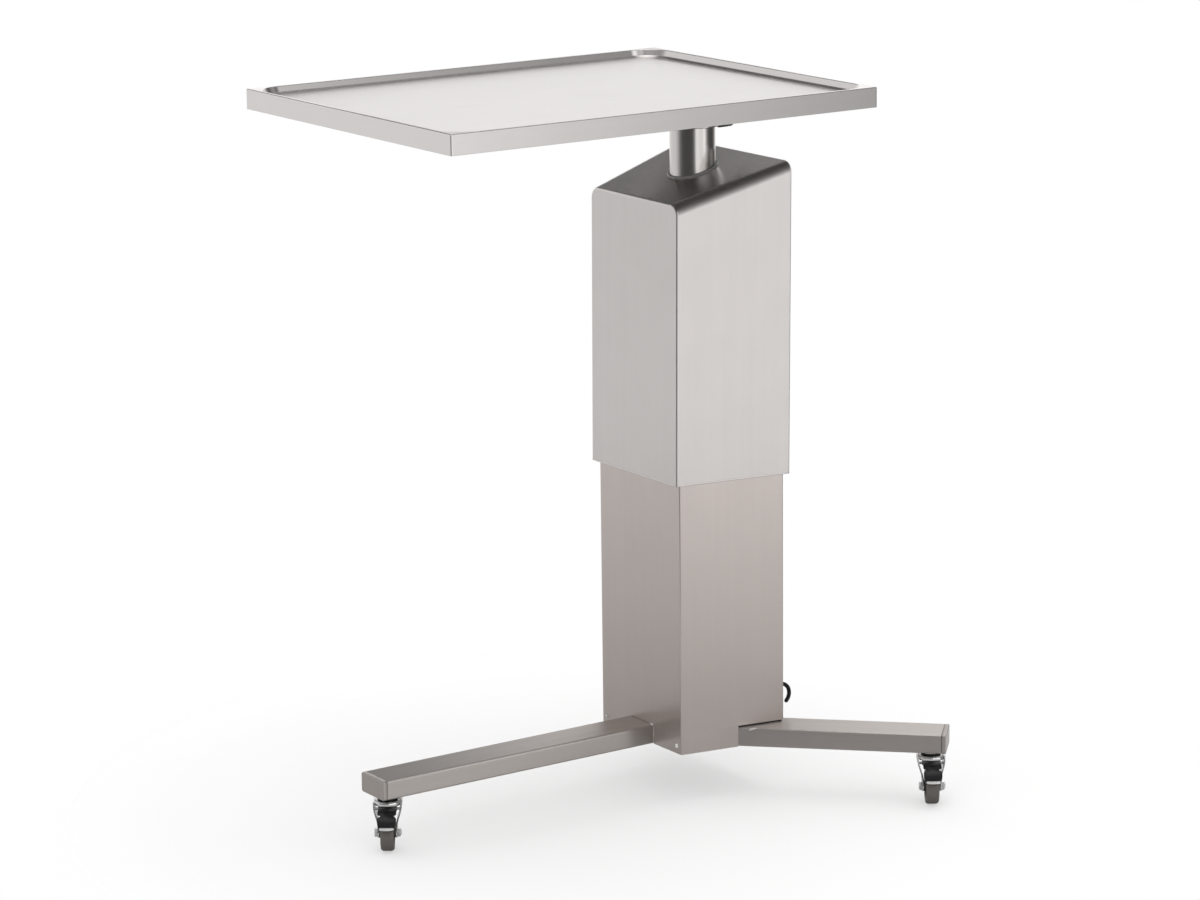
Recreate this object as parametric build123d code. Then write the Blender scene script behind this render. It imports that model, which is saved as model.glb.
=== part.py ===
from build123d import *
import os
from math import atan2, cos, degrees, radians, sin, sqrt

# Instrument table with an overhanging steel tray, a lifting column and a three-legged castor base.
# Frame: the floor is Z = 0, +X runs from the tray's free end towards the column, +Y to the side.
# The origin lies under the middle of the overall length and width. All sizes are millimetres.

# Overall heights and clearances
tray_height = 1111.0
overrun = 2.0
seat_gap = 0.3
running_gap = 0.1
fit_gap = 0.05

# Tray pan
tray_length = 740.0
tray_width = 572.0
tray_reach = 609.3
skirt_depth = 30.4
tray_sheet = 1.5
rim_width = 6.0
well_depth = 11.0
well_wall_run = 11.0
well_corner = 44.0
well_cove = 7.0

# Tray frame, socket and clamp
rail_length = 600.0
rail_width = 40.0
rail_height = 17.0
rail_wall = 2.0
rail_spacing = 140.0
cross_plate_length = 170.0
cross_plate_width = 200.0
cross_plate_thickness = 5.0
socket_wall = 7.0
socket_depth = 37.5
socket_flange_radius = 62.0
socket_flange_thickness = 6.0
socket_bolt_circle = 100.0
socket_bolt_count = 4
socket_bolt_angle = 45.0
clamp_drop = 67.5
clamp_boss_radius = 8.5
clamp_boss_reach = 4.0
clamp_screw_radius = 5.0
knob_gap = 1.5
knob_length = 22.0
knob_radius = 19.0
knob_lobes = 7
flute_radius = 6.0
knob_lobe_depth = 1.6
knob_rounding = 2.5

# Post and washers
post_radius = 35.0
post_wall = 3.0
washer_thickness = 2.0
plug_thickness = 12.0
plug_drop = 8.0
ring_radius = 39.0
ring_height = 2.6

# Sleeve: the upper housing
sleeve_bottom = 506.7
sleeve_front_reach = 111.8
sleeve_length = 190.3
sleeve_front_half = 113.5
sleeve_rear_half = 143.85
roof_drop = 175.5
roof_rise = 52.5
roof_bend = 17.0
sleeve_sheet = 1.5
sleeve_edge = 0.9
hem_height = 12.0
hem_thickness = 1.2
carrier_thickness = 4.0
carrier_front = 48.0
carrier_rear = 62.0
carrier_collar_wall = 5.0
carrier_collar_depth = 25.3
pad_length = 22.0
pad_height = 30.0
pad_rise = 3.0
pad_side_shares = (0.22, 0.78)

# Lower shell
shell_inset = 7.6
shell_sheet = 1.5
shell_top = 546.0
shell_bend = 2.5
leg_opening_gap = 0.8

# Legs
leg_width = 63.6
leg_height = 30.2
leg_wall = 2.5
leg_corner = 3.2
leg_cap_thickness = 2.5
front_leg_reach = 504.0
rear_leg_reach = 462.6
rear_leg_angle = 43.9
junction_reach = 87.5

# Base plate, its tabs and the screws
base_plate_thickness = 6.0
base_plate_gap = 0.3
tab_thickness = 3.0
tab_width = 40.0
tab_bottom_gap = 4.0
front_screw_offset = 95.0
rear_screw_offset = 60.0
screw_rise = 12.0
screw_radius = 2.0
screw_head_radius = 3.6
screw_head_height = 1.8

# Telescopic guide
lift_down = 320.0
lift_up = 20.0
stage_share = 0.5
bush_thickness = 3.0
bush_length = 30.0
middle_wall = 4.0
fixed_wall = 5.0
guide_floor_gap = 8.0
middle_nest_gap = 2.0
flange_radius = 65.0
flange_thickness = 8.0
column_bolt_circle = 114.0
column_bolt_count = 6
column_bolt_angle = 0.0
bolt_radius = 4.0
bolt_head_radius = 6.6
bolt_head_height = 5.5

# Actuator and control box
motor_radius = 29.0
motor_length = 90.0
motor_rounding = 4.0
actuator_radius = 20.0
actuator_wall = 3.0
gland_length = 14.0
rod_guided_length = 28.3
rod_radius = 11.0
rod_floor_gap = 5.0
rod_stud_radius = 6.0
rod_nut_radius = 11.0
rod_nut_height = 7.0
control_box_depth = 28.0
control_box_width = 130.0
control_box_height = 200.0
control_box_rounding = 6.0
control_box_gap = 4.0

# Cable hook
hook_offset = 115.0
hook_height = 148.6
hook_reach = 8.2
hook_radius = 16.5
hook_thickness = 6.4
hook_end_angle = -48.0
hook_foot_width = 18.0
hook_foot_thickness = 3.0
hook_foot_rise = 9.0
hook_foot_bottom = 140.0

# Castors
castor_height = 81.5
castor_inset = 26.0
castor_trail = 22.0
castor_heading = -124.0
far_castor_heading = 124.0
wheel_radius = 28.0
wheel_width = 20.0
wheel_hub_radius = 20.0
wheel_web = 5.0
hub_radius = 9.0
hub_side_gap = 0.4
tread_crown = 1.6
tread_shoulder = 3.0
axle_radius = 4.0
axle_head_radius = 7.2
axle_head_length = 4.6
fork_inner_half = 12.4
fork_sheet = 2.6
fork_top_half = 21.6
fork_eye_radius = 8.5
fork_cheek_front = 13.0
fork_cheek_rear = 15.0
crown_radius = 22.0
crown_thickness = 7.0
crown_rounding = 2.2
race_outer = 15.5
race_inner = 8.0
race_height = 3.4
race_rounding = 1.1
upper_race_radius = 17.0
upper_race_height = 2.6
stem_plate_radius = 22.0
stem_plate_height = 2.5
stem_radius = 5.0
stem_nut_radius = 8.5
stem_nut_height = 7.0
kingpin_radius = 4.0
kingpin_head_radius = 7.0
kingpin_head_height = 2.0

# Brake pedals
pedal_width = 28.0
pedal_pin_radius = 2.0
pedal_pin_x = 9.0
pedal_pin_z = 60.4
pedal_hub_radius = 3.7
pedal_centre_x = 24.0
pedal_centre_z = 29.6
pedal_inner_radius = 31.6
pedal_thickness = 3.2
pedal_arm_rise = 1.1
pedal_start_angle = 98.0
pedal_end_angle = 19.0
pedal_side_thickness = 1.3
pedal_side_depth = 4.5
pedal_notch_radius = 4.5
pedal_notch_angle = 61.0
pedal_toe_angle = 24.0
pedal_toe_length = 6.0
pedal_toe_thickness = 2.4
pin_end_gap = 0.4

# Places worked out from the sizes above
leg_half = leg_width / 2
leg_bottom = castor_height
leg_top = leg_bottom + leg_height
rear_angle = radians(rear_leg_angle)
rear_extent = rear_leg_reach * cos(rear_angle) + leg_half * sin(rear_angle) - junction_reach
post_x = (tray_reach - rear_extent) / 2
junction_x = post_x - junction_reach
sleeve_front = post_x - sleeve_front_reach
sleeve_rear = sleeve_front + sleeve_length
roof_front_height = tray_height - roof_drop
roof_rear_height = roof_front_height + roof_rise
taper = (sleeve_rear_half - sleeve_front_half) / sleeve_length
taper_length = sqrt(1 + taper**2)
taper_angle = degrees(atan2(sleeve_rear_half - sleeve_front_half, sleeve_length))
roof_slope = (roof_rear_height - roof_front_height) / sleeve_length
roof_length = sqrt(1 + roof_slope**2)
roof_angle = degrees(atan2(roof_rear_height - roof_front_height, sleeve_length))
base_plate_top = leg_top + base_plate_thickness
pan_underside = tray_height - well_depth - tray_sheet
rail_bottom = pan_underside - rail_height
cross_plate_bottom = rail_bottom - cross_plate_thickness
flange_bottom = cross_plate_bottom - socket_flange_thickness
post_top = flange_bottom - running_gap - washer_thickness
clamp_z = tray_height - clamp_drop
socket_radius = post_radius + socket_wall
middle_bore = post_radius + bush_thickness
middle_radius = middle_bore + middle_wall
fixed_bore = middle_radius + bush_thickness
fixed_radius = fixed_bore + fixed_wall
middle_down = lift_down * stage_share
middle_bottom = base_plate_top + guide_floor_gap + middle_down
middle_top = shell_top + middle_nest_gap + middle_down
post_bottom = base_plate_top + guide_floor_gap + middle_nest_gap + lift_down
plug_top = post_top - plug_drop
plug_bottom = plug_top - plug_thickness
actuator_bottom = base_plate_top + motor_length
rod_bottom = actuator_bottom + rod_floor_gap + lift_down
actuator_top = rod_bottom + lift_up + rod_guided_length + gland_length


def half_width(x, inset):
    """Half the column's plan width at x, for an outline set in by inset from the sleeve's face."""
    return sleeve_front_half + (x - sleeve_front) * taper - inset * taper_length


def roof_height(x, inset):
    """Height of the roof plane at x, set in by inset square to the plane."""
    return roof_front_height + (x - sleeve_front) * roof_slope - inset * roof_length


def block(x0, x1, y0, y1, z0, z1):
    """Block between two corners."""
    centre = Pos((x0 + x1) / 2, (y0 + y1) / 2, (z0 + z1) / 2)
    return centre * Box(x1 - x0, y1 - y0, z1 - z0)


def rod(x, y, z0, z1, radius):
    """Upright round bar."""
    return Pos(x, y, (z0 + z1) / 2) * Cylinder(radius, z1 - z0)


def pipe(x, y, z0, z1, outer, inner):
    """Upright round tube."""
    return rod(x, y, z0, z1, outer) - rod(x, y, z0 - overrun, z1 + overrun, inner)


def turned(points):
    """Solid of revolution about Z from a closed outline of (radius, height) points."""
    outline = make_face(Plane.XZ * Polyline(*points, close=True))
    return revolve(outline, Axis.Z)


def prism(points, z0, z1):
    """Upright prism on a plan outline."""
    return extrude(Pos(0, 0, z0) * make_face(Polyline(*points, close=True)), z1 - z0)


def lying_bar(x0, x1, y, z, radius):
    """Round bar along X."""
    return Pos((x0 + x1) / 2, y, z) * Rot(0, 90, 0) * Cylinder(radius, x1 - x0)


def hexagon_bar(x, y, z0, z1, radius):
    """Upright hexagonal bar, radius across its corners."""
    return extrude(Pos(x, y, z0) * RegularPolygon(radius, 6), z1 - z0)


def ring_places(count, circle, start_angle):
    """Places on a bolt circle round the post's axis."""
    angles = [radians(start_angle + 360 * index / count) for index in range(count)]
    return [(post_x + circle / 2 * cos(a), circle / 2 * sin(a)) for a in angles]


def below_roof(inset):
    """Large block whose top face is the roof plane set in by inset."""
    reach = sleeve_length * 2
    top = Pos(post_x, 0, roof_height(post_x, inset))
    return top * Rot(0, -roof_angle, 0) * Pos(0, 0, -reach / 2) * Box(reach, reach, reach)


# Column covers


def arch(x, inset, bottom, bend):
    """Cross-section of the sleeve at x: straight sides and a flat top joined by two bends."""
    half = half_width(x, inset)
    top = roof_height(x, inset)
    turn = bend * (1 - cos(radians(45)))
    edges = [
        Line((x, -half, bottom), (x, -half, top - bend)),
        ThreePointArc((x, -half, top - bend), (x, turn - half, top - turn), (x, bend - half, top)),
        Line((x, bend - half, top), (x, half - bend, top)),
        ThreePointArc((x, half - bend, top), (x, half - turn, top - turn), (x, half, top - bend)),
        Line((x, half, top - bend), (x, half, bottom)),
        Line((x, half, bottom), (x, -half, bottom)),
    ]
    return make_face(edges)


def housing_block(inset, bottom):
    """Solid block in the sleeve's form, set in by inset all round and at the roof."""
    front = sleeve_front + inset
    rear = sleeve_rear - inset
    bend = roof_bend - inset
    return loft([arch(front, inset, bottom, bend), arch(rear, inset, bottom, bend)], ruled=True)


def plan_outline(inset):
    """Corner points of the column's plan, set in by inset from the sleeve's outer faces."""
    front = sleeve_front + inset
    rear = sleeve_rear - inset
    front_half = half_width(front, inset)
    rear_half = half_width(rear, inset)
    return [(front, -front_half), (rear, -rear_half), (rear, rear_half), (front, front_half)]


def plan_prism(inset, bend, z0, z1):
    """Upright prism on the column's plan with bent corners."""
    outline = make_face(Polyline(*plan_outline(inset), close=True))
    return extrude(Pos(0, 0, z0) * fillet(outline.vertices(), bend), z1 - z0)


def make_sleeve():
    """Upper housing: four walls and a sloping roof in one sheet, open below, with a folded hem."""
    outer = housing_block(0, sleeve_bottom)
    front_edges = outer.faces().sort_by(Axis.X)[0].edges().sort_by(Axis.Z)[1:]
    outer = fillet(front_edges, sleeve_edge)
    cavity = housing_block(sleeve_sheet, sleeve_bottom - overrun)
    hem_inset = sleeve_sheet + hem_thickness
    hem_top = sleeve_bottom + hem_height
    hem = plan_prism(sleeve_sheet, sleeve_sheet, sleeve_bottom, hem_top)
    hem -= plan_prism(hem_inset, hem_thickness, sleeve_bottom - overrun, hem_top + overrun)
    post_hole = rod(post_x, 0, sleeve_bottom, tray_height, post_radius + seat_gap)
    return outer - cavity + hem - post_hole


def make_sleeve_carrier():
    """Plate under the roof with a collar on the post: it carries the sleeve."""
    top_inset = sleeve_sheet + running_gap
    low = roof_height(post_x, 0) - carrier_collar_depth
    x0 = post_x - carrier_front
    x1 = post_x + carrier_rear
    half = half_width(x0, sleeve_sheet) - roof_bend
    plate = block(x0, x1, -half, half, low - leg_height, roof_rear_height)
    plate = plate & (below_roof(top_inset) - below_roof(top_inset + carrier_thickness))
    collar = rod(post_x, 0, low, roof_rear_height, post_radius + carrier_collar_wall)
    collar = collar & below_roof(top_inset)
    return plate + collar - rod(post_x, 0, low - overrun, roof_rear_height, post_radius)


def make_post_ring():
    """Trim ring round the post, lying in the roof's plane."""
    ring = pipe(post_x, 0, roof_front_height, roof_rear_height, ring_radius, post_radius + fit_gap)
    return ring & (below_roof(-ring_height) - below_roof(0))


def make_glide_pads():
    """Plastic pads on the hem that run on the lower shell."""
    hem_face = sleeve_sheet + hem_thickness
    thickness = shell_inset - hem_face - seat_gap
    z0 = sleeve_bottom + pad_rise
    z1 = z0 + pad_height
    pads = []
    for face_x, side in ((sleeve_front + hem_face, 1), (sleeve_rear - hem_face, -1)):
        for y in (-sleeve_front_half / 2, sleeve_front_half / 2):
            x_far = face_x + side * thickness
            pads.append(block(min(face_x, x_far), max(face_x, x_far), y - pad_length / 2,
                              y + pad_length / 2, z0, z1))
    for share in pad_side_shares:
        x = sleeve_front + sleeve_length * share
        for side in (-1, 1):
            y = side * half_width(x, hem_face)
            pad = block(-pad_length / 2, pad_length / 2, min(0, -side * thickness),
                        max(0, -side * thickness), z0, z1)
            pads.append(Pos(x, y, 0) * Rot(0, 0, side * taper_angle) * pad)
    return pads


def leg_block(angle, reach, grow, z0, z1):
    """Block along a leg's line from the junction, wider than the leg by grow on each side."""
    bar = block(-leg_half, reach, -leg_half - grow, leg_half + grow, z0, z1)
    return Pos(junction_x, 0, 0) * Rot(0, 0, angle) * bar


def make_lower_shell():
    """Inner housing: four bent walls, open at both ends, cut out round the legs."""
    shell = plan_prism(shell_inset, shell_bend, leg_bottom, shell_top)
    inner = shell_inset + shell_sheet
    shell -= plan_prism(inner, shell_bend - shell_sheet, leg_bottom - overrun, shell_top + overrun)
    opening_top = leg_top + leg_opening_gap
    for angle, reach in leg_lines():
        shell -= leg_block(angle, reach, leg_opening_gap, leg_bottom - overrun, opening_top)
    for x, y, side in shell_screw_places():
        shell -= lying_bar(x - tab_width, x + tab_width, y, leg_bottom + screw_rise,
                           screw_radius + fit_gap)
    return shell


def shell_screw_places():
    """Outer wall face, side offset and outward direction of each shell screw."""
    front = sleeve_front + shell_inset
    rear = sleeve_rear - shell_inset
    places = [(front, side * front_screw_offset, -1) for side in (-1, 1)]
    return places + [(rear, side * rear_screw_offset, 1) for side in (-1, 1)]


def make_shell_screws():
    """Button-head screws through the shell into the base plate's tabs."""
    screws = []
    z = leg_bottom + screw_rise
    for x, y, side in shell_screw_places():
        head_end = x + side * screw_head_height
        tip = x - side * (shell_sheet + base_plate_gap + tab_thickness + seat_gap)
        head = lying_bar(min(x, head_end), max(x, head_end), y, z, screw_head_radius)
        crown = head.edges().filter_by(GeomType.CIRCLE).sort_by(Axis.X)[0 if side < 0 else -1]
        head = fillet([crown], screw_head_height / 2)
        screws.append(head + lying_bar(min(x, tip), max(x, tip), y, z, screw_radius))
    return screws


# Base


def leg_lines():
    """Direction and reach of each leg from the junction: front, near rear, far rear."""
    return [(180.0, front_leg_reach), (-rear_leg_angle, rear_leg_reach),
            (rear_leg_angle, rear_leg_reach)]


def tube_section(grow):
    """Leg section, upright in the YZ plane, smaller or larger by grow."""
    corner = leg_corner + grow
    section = RectangleRounded(leg_width + 2 * grow, leg_height + 2 * grow, corner)
    return Plane.YZ * section


def leg_tube(angle, reach):
    """Rectangular tube along a leg's line, still with its square inner end."""
    length = reach - leg_cap_thickness + leg_width
    outer = extrude(tube_section(0), length)
    bore = Pos(-overrun, 0, 0) * extrude(tube_section(-leg_wall), length + 2 * overrun)
    middle_z = leg_bottom + leg_height / 2
    place = Pos(junction_x, 0, middle_z) * Rot(0, 0, angle) * Pos(-leg_width, 0, 0)
    hole = rod(castor_x(reach), 0, -leg_height, 0, stem_radius + fit_gap)
    hole = Pos(junction_x, 0, middle_z) * Rot(0, 0, angle) * hole
    return place * (outer - bore) - hole


def castor_x(reach):
    """Distance of a castor's swivel axis from the junction."""
    return reach - castor_inset


def mitre_sector(start_angle, end_angle):
    """Plan sector round the junction between two directions, as an upright prism."""
    reach = 2 * front_leg_reach
    middle = radians((start_angle + end_angle) / 2)
    first = radians(start_angle)
    last = radians(end_angle)
    points = [(junction_x, 0)]
    for a in (first, middle, last):
        points.append((junction_x + reach * cos(a), reach * sin(a)))
    return prism(points, leg_bottom - overrun, leg_top + overrun)


def make_legs():
    """Three leg tubes, mitred where they meet."""
    mitre = (180.0 + rear_leg_angle) / 2
    sectors = [(mitre, 360.0 - mitre), (-mitre, 0.0), (0.0, mitre)]
    legs = []
    for (angle, reach), (start, end) in zip(leg_lines(), sectors):
        legs.append(leg_tube(angle, reach) & mitre_sector(start, end))
    return legs


def make_leg_caps():
    """Welded plates that close the legs' ends."""
    middle_z = leg_bottom + leg_height / 2
    caps = []
    for angle, reach in leg_lines():
        plate = extrude(tube_section(0), leg_cap_thickness)
        place = Pos(junction_x, 0, middle_z) * Rot(0, 0, angle)
        caps.append(place * Pos(reach - leg_cap_thickness, 0, 0) * plate)
    return caps


def make_base_plate():
    """Plate on the legs inside the shell, with tabs turned down for the shell's screws."""
    inset = shell_inset + shell_sheet + base_plate_gap
    plate = plan_prism(inset, shell_bend, leg_top, base_plate_top)
    front = sleeve_front + inset
    rear = sleeve_rear - inset
    tab_low = leg_bottom + tab_bottom_gap
    for x, y, side in shell_screw_places():
        edge = front if side < 0 else rear
        x0 = min(edge, edge - side * tab_thickness)
        inner = half_width(front, inset) - shell_bend
        y_out = min(abs(y) + tab_width / 2, inner)
        y_in = abs(y) - tab_width / 2
        y0, y1 = sorted((y_in if y > 0 else -y_in, y_out if y > 0 else -y_out))
        plate += block(x0, x0 + tab_thickness, y0, y1, tab_low, leg_top)
        plate -= lying_bar(x - tab_width, x + tab_width, y, leg_bottom + screw_rise,
                           screw_radius + fit_gap)
    plate -= rod(post_x, 0, leg_top - overrun, base_plate_top + overrun, rod_stud_radius + fit_gap)
    for x, y in ring_places(column_bolt_count, column_bolt_circle, column_bolt_angle):
        plate -= rod(x, y, leg_top - overrun, base_plate_top + overrun, bolt_radius + fit_gap)
    return plate


def make_column_bolts():
    """Bolts that hold the fixed tube's flange to the base plate."""
    head_bottom = base_plate_top + flange_thickness
    bolts = []
    for x, y in ring_places(column_bolt_count, column_bolt_circle, column_bolt_angle):
        head = hexagon_bar(x, y, head_bottom, head_bottom + bolt_head_height, bolt_head_radius)
        bolts.append(head + rod(x, y, leg_top + seat_gap, head_bottom, bolt_radius))
    return bolts


def make_fixed_tube():
    """Outer guide tube with its bolted flange."""
    tube = rod(post_x, 0, base_plate_top, shell_top, fixed_radius)
    tube += rod(post_x, 0, base_plate_top, base_plate_top + flange_thickness, flange_radius)
    tube -= rod(post_x, 0, base_plate_top - overrun, shell_top + overrun, fixed_bore)
    for x, y in ring_places(column_bolt_count, column_bolt_circle, column_bolt_angle):
        tube -= rod(x, y, base_plate_top - overrun, shell_top, bolt_radius + fit_gap)
    return tube


def make_fixed_bush():
    """Sliding bush in the mouth of the fixed tube."""
    return pipe(post_x, 0, shell_top - bush_length, shell_top, fixed_bore, middle_radius + fit_gap)


def make_middle_tube():
    """Middle stage tube of the guide."""
    return pipe(post_x, 0, middle_bottom, middle_top, middle_radius, middle_bore)


def make_middle_bushes():
    """Bush in the middle tube's mouth, for the post, and bush round its lower end."""
    mouth = pipe(post_x, 0, middle_top - bush_length, middle_top, middle_bore,
                 post_radius + fit_gap)
    foot = pipe(post_x, 0, middle_bottom, middle_bottom + bush_length, fixed_bore - fit_gap,
                middle_radius)
    return [mouth, foot]


def make_post():
    """Polished round tube that carries the tray."""
    return pipe(post_x, 0, post_bottom, post_top, post_radius, post_radius - post_wall)


def make_post_bush():
    """Bush round the post's lower end, which runs in the middle tube."""
    return pipe(post_x, 0, post_bottom, post_bottom + bush_length, middle_bore - fit_gap,
                post_radius)


def make_post_plug():
    """Plug welded in the post's top, bored for the actuator's stud."""
    return pipe(post_x, 0, plug_bottom, plug_top, post_radius - post_wall,
                rod_stud_radius + fit_gap)


def make_thrust_washer():
    """Plastic washer between the post's rim and the tray's socket."""
    return pipe(post_x, 0, post_top, post_top + washer_thickness, post_radius,
                post_radius - 2 * post_wall)


def make_motor():
    """Closed motor and gearbox housing at the foot of the actuator."""
    body = rod(post_x, 0, base_plate_top, actuator_bottom, motor_radius)
    body = fillet(body.edges().filter_by(GeomType.CIRCLE).sort_by(Axis.Z)[-1:], motor_rounding)
    return body + rod(post_x, 0, leg_top, base_plate_top, rod_stud_radius)


def make_actuator_tube():
    """Outer tube of the actuator, screwed to the motor housing."""
    return pipe(post_x, 0, actuator_bottom, actuator_top, actuator_radius,
                actuator_radius - actuator_wall)


def make_actuator_gland():
    """Wiper gland in the mouth of the actuator tube."""
    return pipe(post_x, 0, actuator_top - gland_length, actuator_top,
                actuator_radius - actuator_wall, rod_radius + fit_gap)


def make_actuator_rod():
    """Push rod of the actuator, with a threaded stud through the post's plug."""
    shaft = rod(post_x, 0, rod_bottom, plug_bottom, rod_radius)
    stud_top = plug_top + rod_nut_height
    return shaft + rod(post_x, 0, plug_bottom, stud_top, rod_stud_radius)


def make_rod_nut():
    """Nut that holds the rod to the plug."""
    nut = hexagon_bar(post_x, 0, plug_top, plug_top + rod_nut_height, rod_nut_radius)
    return nut - rod(post_x, 0, plug_top - overrun, post_top, rod_stud_radius + fit_gap)


def make_control_box():
    """Closed control unit that stands on the base plate in front of the guide."""
    x0 = sleeve_front + shell_inset + shell_sheet + control_box_gap
    half = control_box_width / 2
    box = block(x0, x0 + control_box_depth, -half, half, base_plate_top,
                base_plate_top + control_box_height)
    return fillet(box.edges().filter_by(Axis.Z), control_box_rounding)


def make_cable_hook():
    """Down-turned hook on the wide face, with a flat foot."""
    wall = sleeve_rear - shell_inset
    start_angle = 180 - degrees(atan2(sqrt(hook_radius**2 - hook_reach**2), hook_reach))
    arc = CenterArc((wall + hook_reach, hook_height), hook_radius, hook_end_angle,
                    start_angle - hook_end_angle)
    path = Pos(0, -hook_offset, 0) * (Plane.XZ * arc)
    end = path.edge() @ 0
    section = Plane(origin=end, z_dir=path.edge() % 0) * Circle(hook_thickness / 2)
    hook = sweep(section, path=path.edge()) + Pos(*end) * Sphere(hook_thickness / 2)
    foot_top = hook_height + sqrt(hook_radius**2 - hook_reach**2) + hook_foot_rise
    half = hook_foot_width / 2
    foot = block(wall, wall + hook_foot_thickness, -hook_offset - half, -hook_offset + half,
                 hook_foot_bottom, foot_top)
    foot = fillet(foot.edges().filter_by(Axis.X), hook_foot_thickness)
    behind = block(wall - hook_radius, wall, -hook_offset - half, -hook_offset + half,
                   hook_foot_bottom, foot_top)
    return hook + foot - behind


# Tray


def pan_outline(inset, corner):
    """Tray outline set in by inset, with rounded corners."""
    middle_x = post_x - tray_reach + tray_length / 2
    return Pos(middle_x, 0, 0) * RectangleRounded(tray_length - 2 * inset, tray_width - 2 * inset,
                                                  corner)


def well_block(grow, top):
    """Form of the well: a shallow tub with sloping walls and a rounded foot."""
    floor_z = tray_height - well_depth - grow
    opening = Pos(0, 0, tray_height) * pan_outline(rim_width - grow, well_corner + grow)
    floor_corner = well_corner - well_wall_run + grow
    floor_face = Pos(0, 0, floor_z) * pan_outline(rim_width + well_wall_run - grow, floor_corner)
    tub = loft([floor_face, opening])
    tub = fillet(tub.faces().sort_by(Axis.Z)[0].edges(), well_cove + grow)
    if top > 0:
        tub += extrude(opening, top)
    return tub


def make_tray_pan():
    """Pan pressed from one sheet: well, flat rim and a deep square skirt."""
    x0 = post_x - tray_reach
    x1 = x0 + tray_length
    half = tray_width / 2
    bottom = tray_height - skirt_depth
    body = block(x0, x1, -half, half, bottom, tray_height)
    hollow = block(x0 + tray_sheet, x1 - tray_sheet, tray_sheet - half, half - tray_sheet,
                   bottom - overrun, tray_height - tray_sheet)
    return body - (hollow - well_block(tray_sheet, 0)) - well_block(0, overrun)


def make_tray_rails():
    """Two lengthwise channels welded under the pan."""
    middle_x = post_x - tray_reach + tray_length / 2
    x0 = middle_x - rail_length / 2
    x1 = middle_x + rail_length / 2
    rails = []
    for y in (-rail_spacing / 2, rail_spacing / 2):
        channel = block(x0, x1, y - rail_width / 2, y + rail_width / 2, rail_bottom, pan_underside)
        inner = rail_width / 2 - rail_wall
        channel -= block(x0 - overrun, x1 + overrun, y - inner, y + inner,
                         rail_bottom + rail_wall, pan_underside + overrun)
        rails.append(channel)
    return rails


def make_cross_plate():
    """Plate under the rails, drilled for the socket's bolts."""
    half_x = cross_plate_length / 2
    half_y = cross_plate_width / 2
    plate = block(post_x - half_x, post_x + half_x, -half_y, half_y, cross_plate_bottom,
                  rail_bottom)
    for x, y in ring_places(socket_bolt_count, socket_bolt_circle, socket_bolt_angle):
        plate -= rod(x, y, cross_plate_bottom - overrun, rail_bottom + overrun,
                     bolt_radius + fit_gap)
    return plate


def make_tray_socket():
    """Turned socket over the post's top, with a bolting flange and a clamp boss."""
    bottom = flange_bottom - socket_depth
    outline = [(0, flange_bottom), (0, cross_plate_bottom), (socket_flange_radius, cross_plate_bottom),
               (socket_flange_radius, flange_bottom), (socket_radius, flange_bottom),
               (socket_radius, bottom), (post_radius + fit_gap, bottom),
               (post_radius + fit_gap, flange_bottom)]
    socket = Pos(post_x, 0, 0) * turned(outline)
    boss_end = post_x + socket_radius + clamp_boss_reach
    boss = lying_bar(post_x + post_radius + socket_wall / 2, boss_end, 0, clamp_z,
                     clamp_boss_radius)
    socket += boss
    socket -= lying_bar(post_x + post_radius - socket_wall, boss_end + overrun, 0, clamp_z,
                        clamp_screw_radius + fit_gap)
    for x, y in ring_places(socket_bolt_count, socket_bolt_circle, socket_bolt_angle):
        socket -= rod(x, y, flange_bottom - overrun, cross_plate_bottom + overrun,
                      bolt_radius + fit_gap)
    return socket


def make_socket_bolts():
    """Bolts up through the socket's flange into the cross plate."""
    bolts = []
    for x, y in ring_places(socket_bolt_count, socket_bolt_circle, socket_bolt_angle):
        head = hexagon_bar(x, y, flange_bottom - bolt_head_height, flange_bottom, bolt_head_radius)
        bolts.append(head + rod(x, y, flange_bottom, rail_bottom, bolt_radius))
    return bolts


def make_clamp_screw():
    """Clamp screw: it bears on the post and ends inside the knob."""
    start = post_x + post_radius + seat_gap
    end = post_x + socket_radius + clamp_boss_reach + knob_gap + knob_length / 2
    return lying_bar(start, end, 0, clamp_z, clamp_screw_radius)


def make_clamp_knob():
    """Fluted round knob on the clamp screw."""
    start = post_x + socket_radius + clamp_boss_reach + knob_gap
    knob = lying_bar(start, start + knob_length, 0, clamp_z, knob_radius)
    knob = fillet(knob.edges().filter_by(GeomType.CIRCLE), knob_rounding)
    flute_circle = knob_radius + flute_radius - knob_lobe_depth
    for index in range(knob_lobes):
        a = radians(360 * index / knob_lobes)
        knob -= lying_bar(start - overrun, start + knob_length + overrun, flute_circle * sin(a),
                          clamp_z + flute_circle * cos(a), flute_radius)
    return knob - lying_bar(start - overrun, start + knob_length / 2 + seat_gap, 0, clamp_z,
                            clamp_screw_radius)


# Castors, modelled with the swivel axis on Z and the wheel trailing along +X

crown_top = castor_height - stem_plate_height - upper_race_height - running_gap - race_height
crown_bottom = crown_top - crown_thickness
fork_outer_half = fork_inner_half + fork_sheet


def across(x, z, y0, y1, radius):
    """Round bar along Y."""
    return Pos(x, (y0 + y1) / 2, z) * Rot(90, 0, 0) * Cylinder(radius, y1 - y0)


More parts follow.
